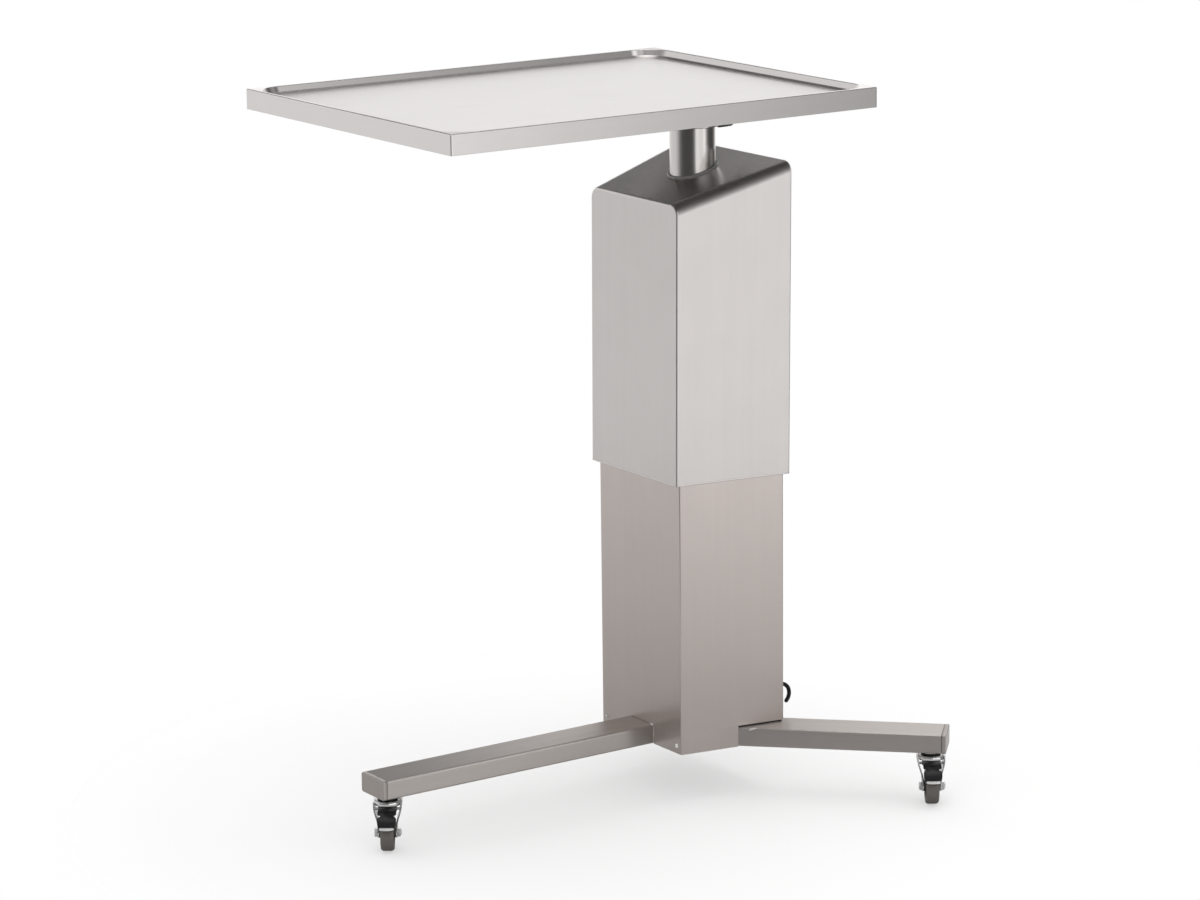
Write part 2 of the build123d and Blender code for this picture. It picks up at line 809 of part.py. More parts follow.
def make_castor_stem():
    """Fixed half of the swivel: threaded stem, plate, upper race and riveted kingpin."""
    plate_bottom = castor_height - stem_plate_height
    race_bottom = plate_bottom - upper_race_height
    stem_top = castor_height + leg_wall + stem_nut_height + fit_gap
    head_top = crown_bottom - running_gap
    outline = [(0, head_top - kingpin_head_height), (kingpin_head_radius - running_gap,
               head_top - kingpin_head_height), (kingpin_head_radius, head_top),
               (kingpin_radius, head_top), (kingpin_radius, race_bottom),
               (upper_race_radius, race_bottom), (upper_race_radius, plate_bottom),
               (stem_plate_radius, plate_bottom), (stem_plate_radius, castor_height),
               (stem_radius, castor_height), (stem_radius, stem_top), (0, stem_top)]
    return turned(outline)


def make_stem_nut():
    """Nut on the stem, inside the leg."""
    bottom = castor_height + leg_wall
    nut = hexagon_bar(0, 0, bottom, bottom + stem_nut_height, stem_nut_radius)
    return nut - rod(0, 0, bottom - overrun, bottom + 2 * stem_nut_height, stem_radius + fit_gap)


def make_swivel_race():
    """Ball race of the swivel, as one ring with rounded walls."""
    ring = pipe(0, 0, crown_top, crown_top + race_height, race_outer, race_inner)
    outer_edges = ring.edges().filter_by(GeomType.CIRCLE).sort_by(SortBy.RADIUS)[-2:]
    return fillet(outer_edges, race_rounding)


def make_fork():
    """Pressed fork: a round crown and two cheeks that taper in to the axle."""
    crown = rod(0, 0, crown_bottom, crown_top, crown_radius)
    crown = fillet(crown.edges().filter_by(GeomType.CIRCLE), crown_rounding)
    eye = Pos(castor_trail, wheel_radius) * Circle(fork_eye_radius)
    cheek_middle = (fork_cheek_rear - fork_cheek_front) / 2
    band = Pos(cheek_middle, crown_bottom) * Rectangle(fork_cheek_front + fork_cheek_rear,
                                                       crown_thickness)
    side = make_hull(eye.edges() + band.edges())
    reach = 2 * crown_radius
    side_form = extrude(Plane.XZ * side, reach, both=True)
    shoulder = crown_bottom + crown_thickness / 2
    knee = wheel_radius + fork_eye_radius
    foot = wheel_radius - 2 * fork_eye_radius
    outer = [(-fork_outer_half, foot), (-fork_outer_half, knee), (-fork_top_half, crown_bottom),
             (-fork_top_half, shoulder), (fork_top_half, shoulder), (fork_top_half, crown_bottom),
             (fork_outer_half, knee), (fork_outer_half, foot)]
    top_inner = fork_top_half - fork_sheet
    inner = [(-fork_inner_half, foot - overrun), (-fork_inner_half, knee),
             (-top_inner, crown_bottom), (top_inner, crown_bottom), (fork_inner_half, knee),
             (fork_inner_half, foot - overrun)]
    legs = make_face(Plane.YZ * Polyline(*outer, close=True))
    gap = make_face(Plane.YZ * Polyline(*inner, close=True))
    front_form = extrude(legs, reach, both=True) - extrude(gap, 2 * reach, both=True)
    fork = crown + (side_form & front_form)
    fork -= rod(0, 0, crown_bottom - overrun, crown_top + overrun, kingpin_radius + fit_gap)
    fork -= across(castor_trail, wheel_radius, -reach, reach, axle_radius + fit_gap)
    fork -= across(pedal_pin_x, pedal_pin_z, -reach, reach, pedal_pin_radius + fit_gap)
    return fork


def make_axle():
    """Axle bolt and its nut."""
    end = fork_outer_half + axle_head_length
    shank = across(castor_trail, wheel_radius, -fork_outer_half, end, axle_radius)
    hexagon = Plane.XZ * Pos(castor_trail, wheel_radius) * RegularPolygon(axle_head_radius, 6)
    head = Pos(0, -fork_outer_half, 0) * extrude(hexagon, axle_head_length)
    nut = Pos(0, end, 0) * extrude(hexagon, axle_head_length)
    nut -= across(castor_trail, wheel_radius, 0, 2 * end, axle_radius + fit_gap)
    return [shank + head, nut]


def wheel_turned(points):
    """Solid of revolution about the axle from (radius, side) points."""
    body = turned(points)
    return Pos(castor_trail, 0, wheel_radius) * Rot(90, 0, 0) * body


def make_wheel_hub():
    """Wheel centre: bored hub, thin web and rim."""
    hub_half = fork_inner_half - hub_side_gap
    rim_half = wheel_width / 2 - tread_crown
    rim_inner = wheel_hub_radius - tread_shoulder
    bore = axle_radius + fit_gap
    web = wheel_web / 2
    outline = [(bore, -hub_half), (hub_radius, -hub_half), (hub_radius, -web), (rim_inner, -web),
               (rim_inner, -rim_half), (wheel_hub_radius, -rim_half), (wheel_hub_radius, rim_half),
               (rim_inner, rim_half), (rim_inner, web), (hub_radius, web), (hub_radius, hub_half),
               (bore, hub_half)]
    return wheel_turned(outline)


def make_tyre():
    """Solid rubber tyre with a slightly crowned tread."""
    half = wheel_width / 2
    flat = half - tread_shoulder
    side_radius = wheel_radius - tread_crown
    outline = [(wheel_hub_radius, -half + tread_crown), (wheel_hub_radius + tread_crown, -half),
               (side_radius - tread_crown, -half), (side_radius + tread_crown / 2,
               -half + tread_crown), (wheel_radius, -flat), (wheel_radius, flat),
               (side_radius + tread_crown / 2, half - tread_crown),
               (side_radius - tread_crown, half), (wheel_hub_radius + tread_crown, half),
               (wheel_hub_radius, half - tread_crown)]
    return wheel_turned(outline)


def sector_face(inner, outer, start_angle, end_angle):
    """Ring sector round the pedal's centre, in the plane of the wheel."""
    centre = (pedal_centre_x, pedal_centre_z)
    sweep_angle = end_angle - start_angle
    outside = CenterArc(centre, outer, start_angle, sweep_angle)
    inside = CenterArc(centre, inner, start_angle, sweep_angle)
    edges = [outside, inside, Line(inside @ 0, outside @ 0), Line(inside @ 1, outside @ 1)]
    return Plane.XZ * make_face(edges)


def make_pedal():
    """Brake pedal: a hood over the front of the wheel, hinged on a pin between the cheeks."""
    half = pedal_width / 2
    outer = pedal_inner_radius + pedal_thickness
    hood = extrude(sector_face(pedal_inner_radius, outer, pedal_end_angle, pedal_start_angle),
                   half, both=True)
    cheek_face = sector_face(pedal_inner_radius - pedal_side_depth, outer, pedal_end_angle,
                             pedal_notch_angle - pedal_toe_angle / 2)
    for side in (-1, 1):
        y0, y1 = sorted((side * half, side * (half - pedal_side_thickness)))
        cheek = extrude(cheek_face, half, both=True)
        hood += cheek & block(-outer, 2 * outer, y0, y1, -outer, 2 * outer)
        a = radians(pedal_notch_angle)
        radius = pedal_inner_radius + pedal_thickness / 2
        notch = Pos(pedal_centre_x + radius * cos(a), side * half, pedal_centre_z + radius * sin(a))
        hood -= notch * Rot(0, 90 - pedal_notch_angle, 0) * Cylinder(pedal_notch_radius,
                                                                     4 * pedal_thickness)
    hub = across(pedal_pin_x, pedal_pin_z, -half, half, pedal_hub_radius)
    a = radians(pedal_start_angle)
    tail_x = pedal_centre_x + pedal_inner_radius * cos(a)
    tail_z = pedal_centre_z + (pedal_inner_radius + pedal_thickness / 2) * sin(a)
    arm = block(pedal_pin_x, tail_x + pedal_thickness, -half, half, pedal_pin_z,
                tail_z + pedal_arm_rise)
    a = radians(pedal_toe_angle)
    toe_x = pedal_centre_x + outer * cos(a)
    toe_z = pedal_centre_z + outer * sin(a)
    toe = Pos(toe_x, 0, toe_z) * Cylinder(half, pedal_toe_thickness)
    toe = toe & block(toe_x - half, toe_x + pedal_toe_length, -half, half, 0, castor_height)
    toe -= across(pedal_centre_x, pedal_centre_z, -2 * half, 2 * half, pedal_inner_radius)
    pedal = hood + hub + arm + toe
    return pedal - across(pedal_pin_x, pedal_pin_z, -2 * half, 2 * half,
                          pedal_pin_radius + fit_gap)


def make_pedal_pin():
    """Pin of the brake pedal, through both cheeks."""
    half = fork_top_half - pin_end_gap
    return across(pedal_pin_x, pedal_pin_z, -half, half, pedal_pin_radius)


def castor_places():
    """Name, swivel axis and heading of each castor."""
    reach = castor_x(rear_leg_reach)
    side = reach * sin(rear_angle)
    rear_x = junction_x + reach * cos(rear_angle)
    front_x = junction_x - castor_x(front_leg_reach)
    return [("front", front_x, 0, castor_heading), ("near", rear_x, -side, castor_heading),
            ("far", rear_x, side, far_castor_heading)]


def write(name, shapes):
    """Write one sub-part, of one or more separate solids, to its own file."""
    if not isinstance(shapes, list):
        shapes = [shapes]
    solids = [solid for shape in shapes for solid in shape.solids()]
    export_step(solids[0] if len(solids) == 1 else Compound(solids), f"parts/{name}.step")


def main():
    """Build every sub-part in place and write it."""
    os.makedirs("parts", exist_ok=True)
    front_leg, near_rear_leg, far_rear_leg = make_legs()
    single_parts = {
        "tray_pan": make_tray_pan(),
        "tray_rails": make_tray_rails(),
        "cross_plate": make_cross_plate(),
        "tray_socket": make_tray_socket(),
        "socket_bolts": make_socket_bolts(),
        "clamp_screw": make_clamp_screw(),
        "clamp_knob": make_clamp_knob(),
        "post": make_post(),
        "post_bush": make_post_bush(),
        "post_plug": make_post_plug(),
        "thrust_washer": make_thrust_washer(),
        "post_ring": make_post_ring(),
        "sleeve": make_sleeve(),
        "sleeve_carrier": make_sleeve_carrier(),
        "glide_pads": make_glide_pads(),
        "actuator_rod": make_actuator_rod(),
        "rod_nut": make_rod_nut(),
        "middle_tube": make_middle_tube(),
        "middle_bushes": make_middle_bushes(),
        "lower_shell": make_lower_shell(),
        "shell_screws": make_shell_screws(),
        "cable_hook": make_cable_hook(),
        "front_leg": front_leg,
        "near_rear_leg": near_rear_leg,
        "far_rear_leg": far_rear_leg,
        "leg_caps": make_leg_caps(),
        "base_plate": make_base_plate(),
        "column_bolts": make_column_bolts(),
        "fixed_tube": make_fixed_tube(),
        "fixed_bush": make_fixed_bush(),
        "actuator_motor": make_motor(),
        "actuator_tube": make_actuator_tube(),
        "actuator_gland": make_actuator_gland(),
        "control_box": make_control_box(),
    }
    for name, shapes in single_parts.items():
        write(name, shapes)
    castor_parts = {
        "castor_stem": make_castor_stem(),
        "swivel_race": make_swivel_race(),
        "castor_fork": make_fork(),
        "castor_axle": make_axle(),
        "wheel_hub": make_wheel_hub(),
        "tyre": make_tyre(),
        "brake_pedal": make_pedal(),
        "pedal_pin": make_pedal_pin(),
    }
    nuts = []
    for place_name, x, y, heading in castor_places():
        place = Pos(x, y, 0) * Rot(0, 0, heading)
        for name, shapes in castor_parts.items():
            if not isinstance(shapes, list):
                shapes = [shapes]
            write(f"{place_name}_{name}", [place * shape for shape in shapes])
        nuts.append(place * make_stem_nut())
    write("stem_nuts", nuts)


main()
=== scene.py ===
from math import asin, atan2, cos, degrees, pi, radians, sin, sqrt, tan

import bpy
import numpy as np
from mathutils import Matrix, Vector


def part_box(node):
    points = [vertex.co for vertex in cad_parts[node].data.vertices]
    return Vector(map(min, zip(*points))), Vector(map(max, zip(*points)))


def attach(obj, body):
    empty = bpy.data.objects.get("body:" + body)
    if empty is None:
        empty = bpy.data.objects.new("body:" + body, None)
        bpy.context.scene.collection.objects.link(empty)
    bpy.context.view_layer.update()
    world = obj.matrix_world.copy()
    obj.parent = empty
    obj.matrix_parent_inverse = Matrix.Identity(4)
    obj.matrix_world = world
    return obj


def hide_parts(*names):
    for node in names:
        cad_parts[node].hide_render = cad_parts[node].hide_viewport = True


# A steel instrument table on castors, dressed round its CAD part. Shapes are worked out in
# millimetres in the part's own frame, and become metres as they are written to a mesh.

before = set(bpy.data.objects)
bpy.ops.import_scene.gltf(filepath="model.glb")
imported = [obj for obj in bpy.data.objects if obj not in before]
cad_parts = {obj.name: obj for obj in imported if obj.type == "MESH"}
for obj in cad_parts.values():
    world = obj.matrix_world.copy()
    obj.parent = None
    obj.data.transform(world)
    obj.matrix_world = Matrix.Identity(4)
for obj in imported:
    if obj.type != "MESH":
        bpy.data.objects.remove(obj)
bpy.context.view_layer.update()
MM = 0.001


def box_of(node):
    """Lowest and highest corner of a CAD node, in millimetres."""
    low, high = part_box(node)
    return np.array(low) / MM, np.array(high) / MM


# Places read from the CAD part

tray_low, tray_high = box_of("tray_pan")
sleeve_low, sleeve_high = box_of("sleeve")
shell_low, shell_high = box_of("lower_shell")
post_low, post_high = box_of("post")
socket_low, socket_high = box_of("tray_socket")
knob_low, knob_high = box_of("clamp_knob")
leg_low, leg_high = box_of("front_leg")
hook_top = box_of("cable_hook")[1][2]
stem_low, stem_high = box_of("front_castor_stem")

tray_top = tray_high[2]
post_x = (post_low[0] + post_high[0]) / 2
post_radius = (post_high[0] - post_low[0]) / 2
leg_bottom, leg_top = leg_low[2], leg_high[2]
leg_half = (leg_high[1] - leg_low[1]) / 2
junction_x = post_x - 87.5
rear_angle = 43.9
front_reach = 504.0
rear_reach = 462.6
castor_inset = 26.0
sleeve_front_half = 113.5
roof_front = 935.5
shell_inset = sleeve_high[0] - shell_high[0]
taper = (sleeve_high[1] - sleeve_front_half) / (sleeve_high[0] - sleeve_low[0])
taper_length = sqrt(1 + taper**2)
roof_slope = (sleeve_high[2] - roof_front) / (sleeve_high[0] - sleeve_low[0])
roof_length = sqrt(1 + roof_slope**2)


# Meshes from grids of points


def lengths(points, axis):
    """Running length along one index of a closed grid, taking the longest step of each row."""
    shut = np.concatenate([points, np.take(points, [0], axis)], axis)
    steps = np.linalg.norm(np.diff(shut, axis=axis), axis=2).max(axis=1 - axis)
    return np.concatenate([[0.0], np.cumsum(steps)])


def flat_places(points):
    """Texture places on a flat face: across and along, taken in its own plane."""
    spread = np.ptp(points, axis=0)
    if spread[2] < min(spread[0], spread[1]) or spread[2] < 0.02 * spread.max():
        return points[:, [1, 0]]
    return np.stack([points[:, 0] + points[:, 1], points[:, 2]], 1)


def grid(points, round_rows=False, round_cols=False, caps=(False, False), wear=0.0, turn=False,
         **marks):
    """Quads over a grid of points, with flat faces over its first and last row where asked.
    Texture places are the running lengths along the columns and rows, in that order, so the
    grain follows the rows; turn makes it follow the columns instead."""
    rows, cols = points.shape[:2]
    i, j = np.meshgrid(np.arange(rows if round_rows else rows - 1),
                       np.arange(cols if round_cols else cols - 1), indexing="ij")
    corners = [(i, j), (i, j + 1), (i + 1, j + 1), (i + 1, j)]
    quads = np.stack([(a % rows) * cols + b % cols for a, b in corners], -1).reshape(-1, 4)
    along, across = lengths(points, 0), lengths(points, 1)
    places = np.stack([np.stack([across[b], along[a]], -1) for a, b in corners], 2)
    places = places.reshape(-1, 2)
    if turn:
        places = places[:, ::-1]
    faces = [tuple(q) for q in quads.tolist()]
    flat = points.reshape(-1, 3)
    for asked, row, step in ((caps[0], 0, 1), (caps[1], rows - 1, -1)):
        if asked:
            ids = np.arange(cols)[::step] + row * cols
            faces.append(tuple(ids.tolist()))
            places = np.concatenate([places, flat_places(flat[ids])])
    marks = {key: np.broadcast_to(np.asarray(value, float), points.shape[:2]).reshape(-1)
             for key, value in {"wear": wear, **marks}.items()}
    return {"points": flat, "faces": faces, "places": places, **marks}


def flipped(patch):
    """The same patch with every face turned over."""
    faces = patch["faces"]
    ends = np.cumsum([len(f) for f in faces])
    order = np.concatenate([np.arange(end - len(f), end)[::-1] for f, end in zip(faces, ends)])
    return {**patch, "faces": [f[::-1] for f in faces], "places": patch["places"][order]}


def outward(patch):
    """The same closed patch with its faces turned to the outside: the sign of its volume,
    summed over a fan of triangles from the middle of the patch, tells which way they are."""
    points = patch["points"] - patch["points"].mean(0)
    sizes = np.array([len(f) for f in patch["faces"]])
    first = points[np.repeat([f[0] for f in patch["faces"]], sizes)]
    here = points[np.concatenate(patch["faces"])]
    following = points[np.concatenate([f[1:] + f[:1] for f in patch["faces"]])]
    volume = np.einsum("ij,ij->i", first, np.cross(here, following)).sum()
    return flipped(patch) if volume < 0 else patch


def new_object(name, data):
    """Object of some data, put into the scene."""
    made = bpy.data.objects.new(name, data)
    bpy.context.scene.collection.objects.link(made)
    return made


def write_piece(name, patches, body, slot, material, *nodes):
    """One mesh object from closed patches in millimetres. It rides on a body and stands for
    CAD nodes. The point attributes mark worn edges, where dark grey shade is painted on the
    sheet's back, and polished faces, and the texture places are metres."""
    points, faces, places, start = [], [], [], 0
    marks = {"wear": [], "under": [], "polish": []}
    for patch in (outward(p) for p in patches):
        points.append(patch["points"])
        faces += [tuple(k + start for k in f) for f in patch["faces"]]
        places.append(patch["places"])
        for mark, values in marks.items():
            values.append(patch.get(mark, 0 * patch["wear"]))
        start += len(patch["points"])
    mesh = bpy.data.meshes.new(name)
    mesh.from_pydata((np.concatenate(points) * MM).tolist(), [], faces)
    layer = mesh.uv_layers.new(name="grain")
    layer.data.foreach_set("uv", (np.concatenate(places) * MM).astype(np.float32).ravel())
    for mark, values in marks.items():
        made = mesh.attributes.new(mark, "FLOAT", "POINT")
        made.data.foreach_set("value", np.concatenate(values).astype(np.float32))
    mesh.shade_smooth()
    mesh.set_sharp_from_angle(angle=radians(35))
    mesh.materials.append(material)
    piece = new_object(name, mesh)
    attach(piece, body)
    if nodes:
        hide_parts(*nodes)
    return piece


def rounded(corners, radii, steps=5, shut=False, support=0.25):
    """A polyline with rounded corners. Each corner of radius r becomes an arc that starts
    r / tan(half the corner's angle) from it, with a support point just before and after, so
    that smooth shading stays flat on the straight runs. Returns the points and their wear."""
    corners = np.asarray(corners, float)
    radii = np.broadcast_to(np.asarray(radii, float), (len(corners),))
    inner = np.arange(len(corners)) if shut else np.arange(1, len(corners) - 1)
    here = corners[inner]
    back = corners[inner - 1] - here
    ahead = corners[(inner + 1) % len(corners)] - here
    back /= np.linalg.norm(back, axis=1)[:, None]
    ahead /= np.linalg.norm(ahead, axis=1)[:, None]
    half = np.arccos(np.clip((back * ahead).sum(1), -1, 1)) / 2
    run = (radii[inner] / np.tan(half))[:, None]
    middle = back + ahead
    middle *= (radii[inner] / np.sin(half) / np.linalg.norm(middle, axis=1))[:, None]
    first, last = back * run - middle, ahead * run - middle
    sweep = (pi - 2 * half)[:, None, None]
    t = np.linspace(0, 1, steps + 1)[None, :, None]
    arc = (np.sin((1 - t) * sweep) * first[:, None] + np.sin(t * sweep) * last[:, None])
    arc = here[:, None] + middle[:, None] + arc / np.sin(sweep)
    before = here + back * (run + support)
    after = here + ahead * (run + support)
    found = np.concatenate([before[:, None], arc, after[:, None]], 1)
    wear = np.zeros(found.shape[:2])
    wear[:, 1:-1] = np.sin(pi * np.linspace(0, 1, steps + 1)) * 0.5 + 0.5
    found, wear = found.reshape(-1, 2), wear.reshape(-1)
    if not shut:
        found = np.concatenate([corners[:1], found, corners[-1:]])
        wear = np.concatenate([[0.0], wear, [0.0]])
    return found, wear


def full_turn(count):
    """Angles spread evenly round a circle."""
    return np.linspace(0, 2 * pi, count, endpoint=False)


def turned(profile, wear, steps, sides=None, shut=False):
    """Surface of revolution about Z from (radius, height) points: x = r cos a, y = r sin a.
    sides gives a factor on the radius for each angle and row, as for a hexagon or flutes. A
    shut profile is a loop, an open one gets flat faces over its two ends."""
    a = full_turn(steps)[None, :]
    r = profile[:, :1] * (1.0 if sides is None else sides(a, profile))
    z = np.broadcast_to(profile[:, 1:], (len(profile), steps))
    points = np.stack([r * np.cos(a), r * np.sin(a), z], -1)
    return grid(points, shut, True, (not shut, not shut), np.reshape(wear, (-1, 1)))


def solid(points, wear=0.0, **marks):
    """Grid closed into a tube along its rows, with flat faces over both ends."""
    return grid(points, False, True, (True, True), wear, **marks)


def oblong(inner, outer, low, high):
    """Corners of a rectangular profile."""
    return [(inner, low), (outer, low), (outer, high), (inner, high)]


def spun(corners, radii, bends, steps, ring=False, support=0.25, sides=None):
    """Turned shape from a profile with rounded corners, which a ring closes into a loop."""
    profile, wear = rounded(corners, radii, bends, ring, support)
    return turned(profile, wear, steps, sides, shut=ring)


def about_z(heading):
    """Axes turned about Z by a heading."""
    a = radians(heading)
    return [[cos(a), sin(a), 0], [-sin(a), cos(a), 0], [0, 0, 1]]


def moved(patch, place, axes=((1, 0, 0), (0, 1, 0), (0, 0, 1))):
    """A patch turned so that its X, Y and Z lie along the given axes, and put in its place."""
    patch["points"] = patch["points"] @ axes + place
    return patch


def headed(patches, x, y, heading):
    """Patches turned about Z by a heading and put on a castor's swivel axis."""
    return [moved(p, (x, y, 0), about_z(heading)) for p in patches]


ALONG_X = [[0, 1, 0], [0, 0, 1], [1, 0, 0]]
ALONG_Y = [[1, 0, 0], [0, 0, -1], [0, 1, 0]]


def hexagonal(a):
    """Factor on a radius across flats that makes a hexagon."""
    return 1 / np.cos((a % (pi / 3)) - pi / 6)


# Surface finishes


class Tree:
    """Short hand for building a node tree."""

    def __init__(self, tree):
        self.tree = tree
        tree.nodes.clear()

    def give(self, value, socket):
        """An input linked to an output, or set to a plain value."""
        if isinstance(value, bpy.types.NodeSocket):
            self.tree.links.new(value, socket)
        else:
            socket.default_value = value

    def add(self, kind, inputs=None, **settings):
        """A node with its settings, and its inputs given by name or number."""
        node = self.tree.nodes.new(kind)
        for key, value in settings.items():
            setattr(node, key, value)
        for key, value in (inputs or {}).items():
            self.give(value, node.inputs[key])
        return node

    def math(self, operation, a, b):
        """Output of one Math node."""
        return self.add("ShaderNodeMath", {0: a, 1: b}, operation=operation).outputs[0]

    def plus(self, total, *values):
        """Sum of all values, added one after the other."""
        for value in values:
            total = self.math("ADD", total, value)
        return total

    def times(self, a, b):
        """Product of two values."""
        return self.math("MULTIPLY", a, b)

    def swing(self, value, depth, middle=0.5):
        """Distance of a value from its middle, times a depth."""
        return self.times(self.math("SUBTRACT", value, middle), depth)

    def share(self, value, low, high):
        """How far a value has come from low to high: 0 to 1."""
        return self.add("ShaderNodeMapRange", {0: value, 1: low, 2: high}).outputs[0]

    def scaled(self, vector, factor):
        """Output of a vector or colour times one value."""
        return self.add("ShaderNodeVectorMath", {0: vector, "Scale": factor},
                        operation="SCALE").outputs[0]

    def mix(self, share, first, second):
        """Blend of two colours."""
        return self.add("ShaderNodeMix", {0: share, 6: first, 7: second},
                        data_type="RGBA").outputs[2]

    def noise(self, vector, scale, detail=2.0, rough=0.5):
        """Value of a noise texture, about 0.5 on average."""
        inputs = {"Vector": vector, "Scale": scale, "Detail": detail, "Roughness": rough}
        return self.add("ShaderNodeTexNoise", inputs).outputs[0]

    def mark(self, name):
        """Value of a point attribute."""
        return self.add("ShaderNodeAttribute", attribute_name=name).outputs["Fac"]

    def group(self, tree, inputs):
        """Outputs of a placed node group."""
        return self.add("ShaderNodeGroup", inputs, node_tree=tree).outputs


def new_group(name, inputs, outputs):
    """Node group whose inputs are a Place and plain values, and whose outputs are values. It
    comes with its tree and the outputs of its input node."""
    group = bpy.data.node_groups.new(name, "ShaderNodeTree")
    group.interface.new_socket("Place", in_out="INPUT", socket_type="NodeSocketVector")
    for socket, value in inputs.items():
        made = group.interface.new_socket(socket, in_out="INPUT", socket_type="NodeSocketFloat")
        made.default_value = value
    for socket in outputs:
        group.interface.new_socket(socket, in_out="OUTPUT", socket_type="NodeSocketFloat")
    t = Tree(group)
    return group, t, t.add("NodeGroupInput").outputs


def make_brush_group():
    """Brushed lines: fine noise stretched along the grain, over wide soft streaks."""
    group, t, given = new_group(
        "brushed_lines",
        {"Line Width": 0.0006, "Line Length": 0.05, "Streak Width": 0.011,
         "Streak Length": 0.7, "Line Depth": 0.06, "Streak Depth": 0.04}, ["Shade", "Height"])
    noises = []
    for kind, detail in (("Line", 3.0), ("Streak", 1.0)):
        factors = t.add("ShaderNodeCombineXYZ",
                        {0: t.math("DIVIDE", 1.0, given[f"{kind} Width"]),
                         1: t.math("DIVIDE", 1.0, given[f"{kind} Length"])})
        place = t.add("ShaderNodeVectorMath", {0: given["Place"], 1: factors.outputs[0]},
                      operation="MULTIPLY")
        noises.append(t.noise(place.outputs[0], 1.0, detail, 0.6))
    shade = t.plus(t.swing(noises[0], given["Line Depth"]),
                   t.swing(noises[1], given["Streak Depth"]), 1.0)
    t.add("NodeGroupOutput", {"Shade": shade, "Height": noises[0]})
    return group


def make_wear_group():
    """Worn edges: the edge attribute broken up by noise."""
    group, t, given = new_group("worn_edges", {"Edge": 0.0, "Patch Size": 0.006,
                                               "Amount": 1.0}, ["Mask"])
    broken = t.noise(given["Place"], t.math("DIVIDE", 1.0, given["Patch Size"]), 3.0, 0.65)
    worn = t.times(given["Edge"], t.share(broken, 0.35, 0.6))
    t.add("NodeGroupOutput", {"Mask": t.times(worn, given["Amount"])})
    return group


def make_marks_group():
    """Handling marks: soft clouds that change the gloss, and a few small dull specks."""
    group, t, given = new_group("handling_marks", {"Cloud Size": 0.07, "Speck Size": 0.004,
                                                   "Cloud Depth": 0.04, "Speck Depth": 0.05},
                                ["Gloss Change"])
    clouds, specks = (t.noise(given["Place"], t.math("DIVIDE", 1.0, given[size]), *look)
                      for size, look in (("Cloud Size", (3.0, 0.55)), ("Speck Size", ())))
    change = t.plus(t.swing(clouds, given["Cloud Depth"]),
                    t.times(t.share(specks, 0.68, 0.8), given["Speck Depth"]))
    t.add("NodeGroupOutput", {"Gloss Change": change})
    return group


brush_group = make_brush_group()
wear_group = make_wear_group()
marks_group = make_marks_group()


def new_material(name):
    """Empty material and its tree."""
    material = bpy.data.materials.new(name)
    material.use_nodes = True
    return material, Tree(material.node_tree)


def start_material(name, colour, metal, wear, **sockets):
    """Material with a Principled shader whose plain values are set on its sockets. It comes
    with its tree, its shader, the place on the piece and the mask of its worn edges."""
    material, t = new_material(name)
    material.diffuse_color = (*colour, 1)
    shader = t.add("ShaderNodeBsdfPrincipled",
                   {"Base Color": (*colour, 1), "Metallic": metal, **sockets})
    t.add("ShaderNodeOutputMaterial", {0: shader.outputs[0]})
    spot = t.add("ShaderNodeTexCoord").outputs["Object"]
    worn = t.group(wear_group, {"Edge": t.mark("wear"), "Place": spot, "Amount": wear})[0]
    return material, t, shader.inputs, spot, worn


def give_looks(t, sockets, tone, dull, height, strength):
    """Colour, roughness and a fine relief given to a shader."""
    relief = t.add("ShaderNodeBump", {"Height": height, "Strength": strength,
                                      "Distance": 0.0002})
    t.give(tone, sockets["Base Color"])
    t.give(dull, sockets["Roughness"])
    t.give(relief.outputs[0], sockets["Normal"])


def brushed_steel(name, colour, rough, lines=0.06, streaks=0.04, line_width=0.0006,
                  streak_width=0.011, stretch=0.9, wear=0.2, polished=None, painted_shade_inside=False,
                  own_places=True):
    """Steel with a grain along its texture places, or along X on a CAD node that has none.
    A polished gloss is for the faces marked so. Dark grey painted shade with a duller
    gloss goes on the faces marked for it: the tray's back and the shell's inside."""
    material, t, sockets, spot, worn = start_material(name, colour, 1.0, wear,
                                                      Anisotropic=stretch)
    if own_places:
        place = t.add("ShaderNodeUVMap", uv_map="grain")
        tangent = t.add("ShaderNodeTangent", direction_type="UV_MAP", uv_map="grain")
        t.give(tangent.outputs[0], sockets["Tangent"])
    else:
        place = t.add("ShaderNodeMapping", {0: spot, 2: (0, 0, pi / 2)})
    grain = t.group(brush_group, {
        "Place": place.outputs[0], "Line Width": line_width, "Streak Width": streak_width,
        "Line Depth": lines, "Streak Depth": streaks})
    tone = t.mix(worn, t.scaled(colour, grain["Shade"]),
                 (*(min(1.0, c * 1.12) for c in colour), 1))
    dull = t.plus(rough, t.group(marks_group, {"Place": spot})[0],
                  t.swing(grain["Shade"], -0.5, 1.0), t.times(worn, rough * -0.25))
    if polished:
        dull = t.plus(dull, t.times(t.mark("polish"), polished - rough))
    # Painted shade: the back of the tray and the inside of the shell get a dark grey colour and a
    # duller gloss, standing in for the shade there.
    if painted_shade_inside:
        under = t.mark("under")
        painted_shade_colour = t.mix(t.noise(spot, 600.0), (0.17, 0.166, 0.162, 1), (0.22, 0.216, 0.212, 1))
        tone = t.mix(under, tone, painted_shade_colour)
        dull = t.add("ShaderNodeMix", {0: under, 2: dull, 3: 0.42}).outputs[0]
    give_looks(t, sockets, tone, dull, grain["Height"], 0.02)
    return material


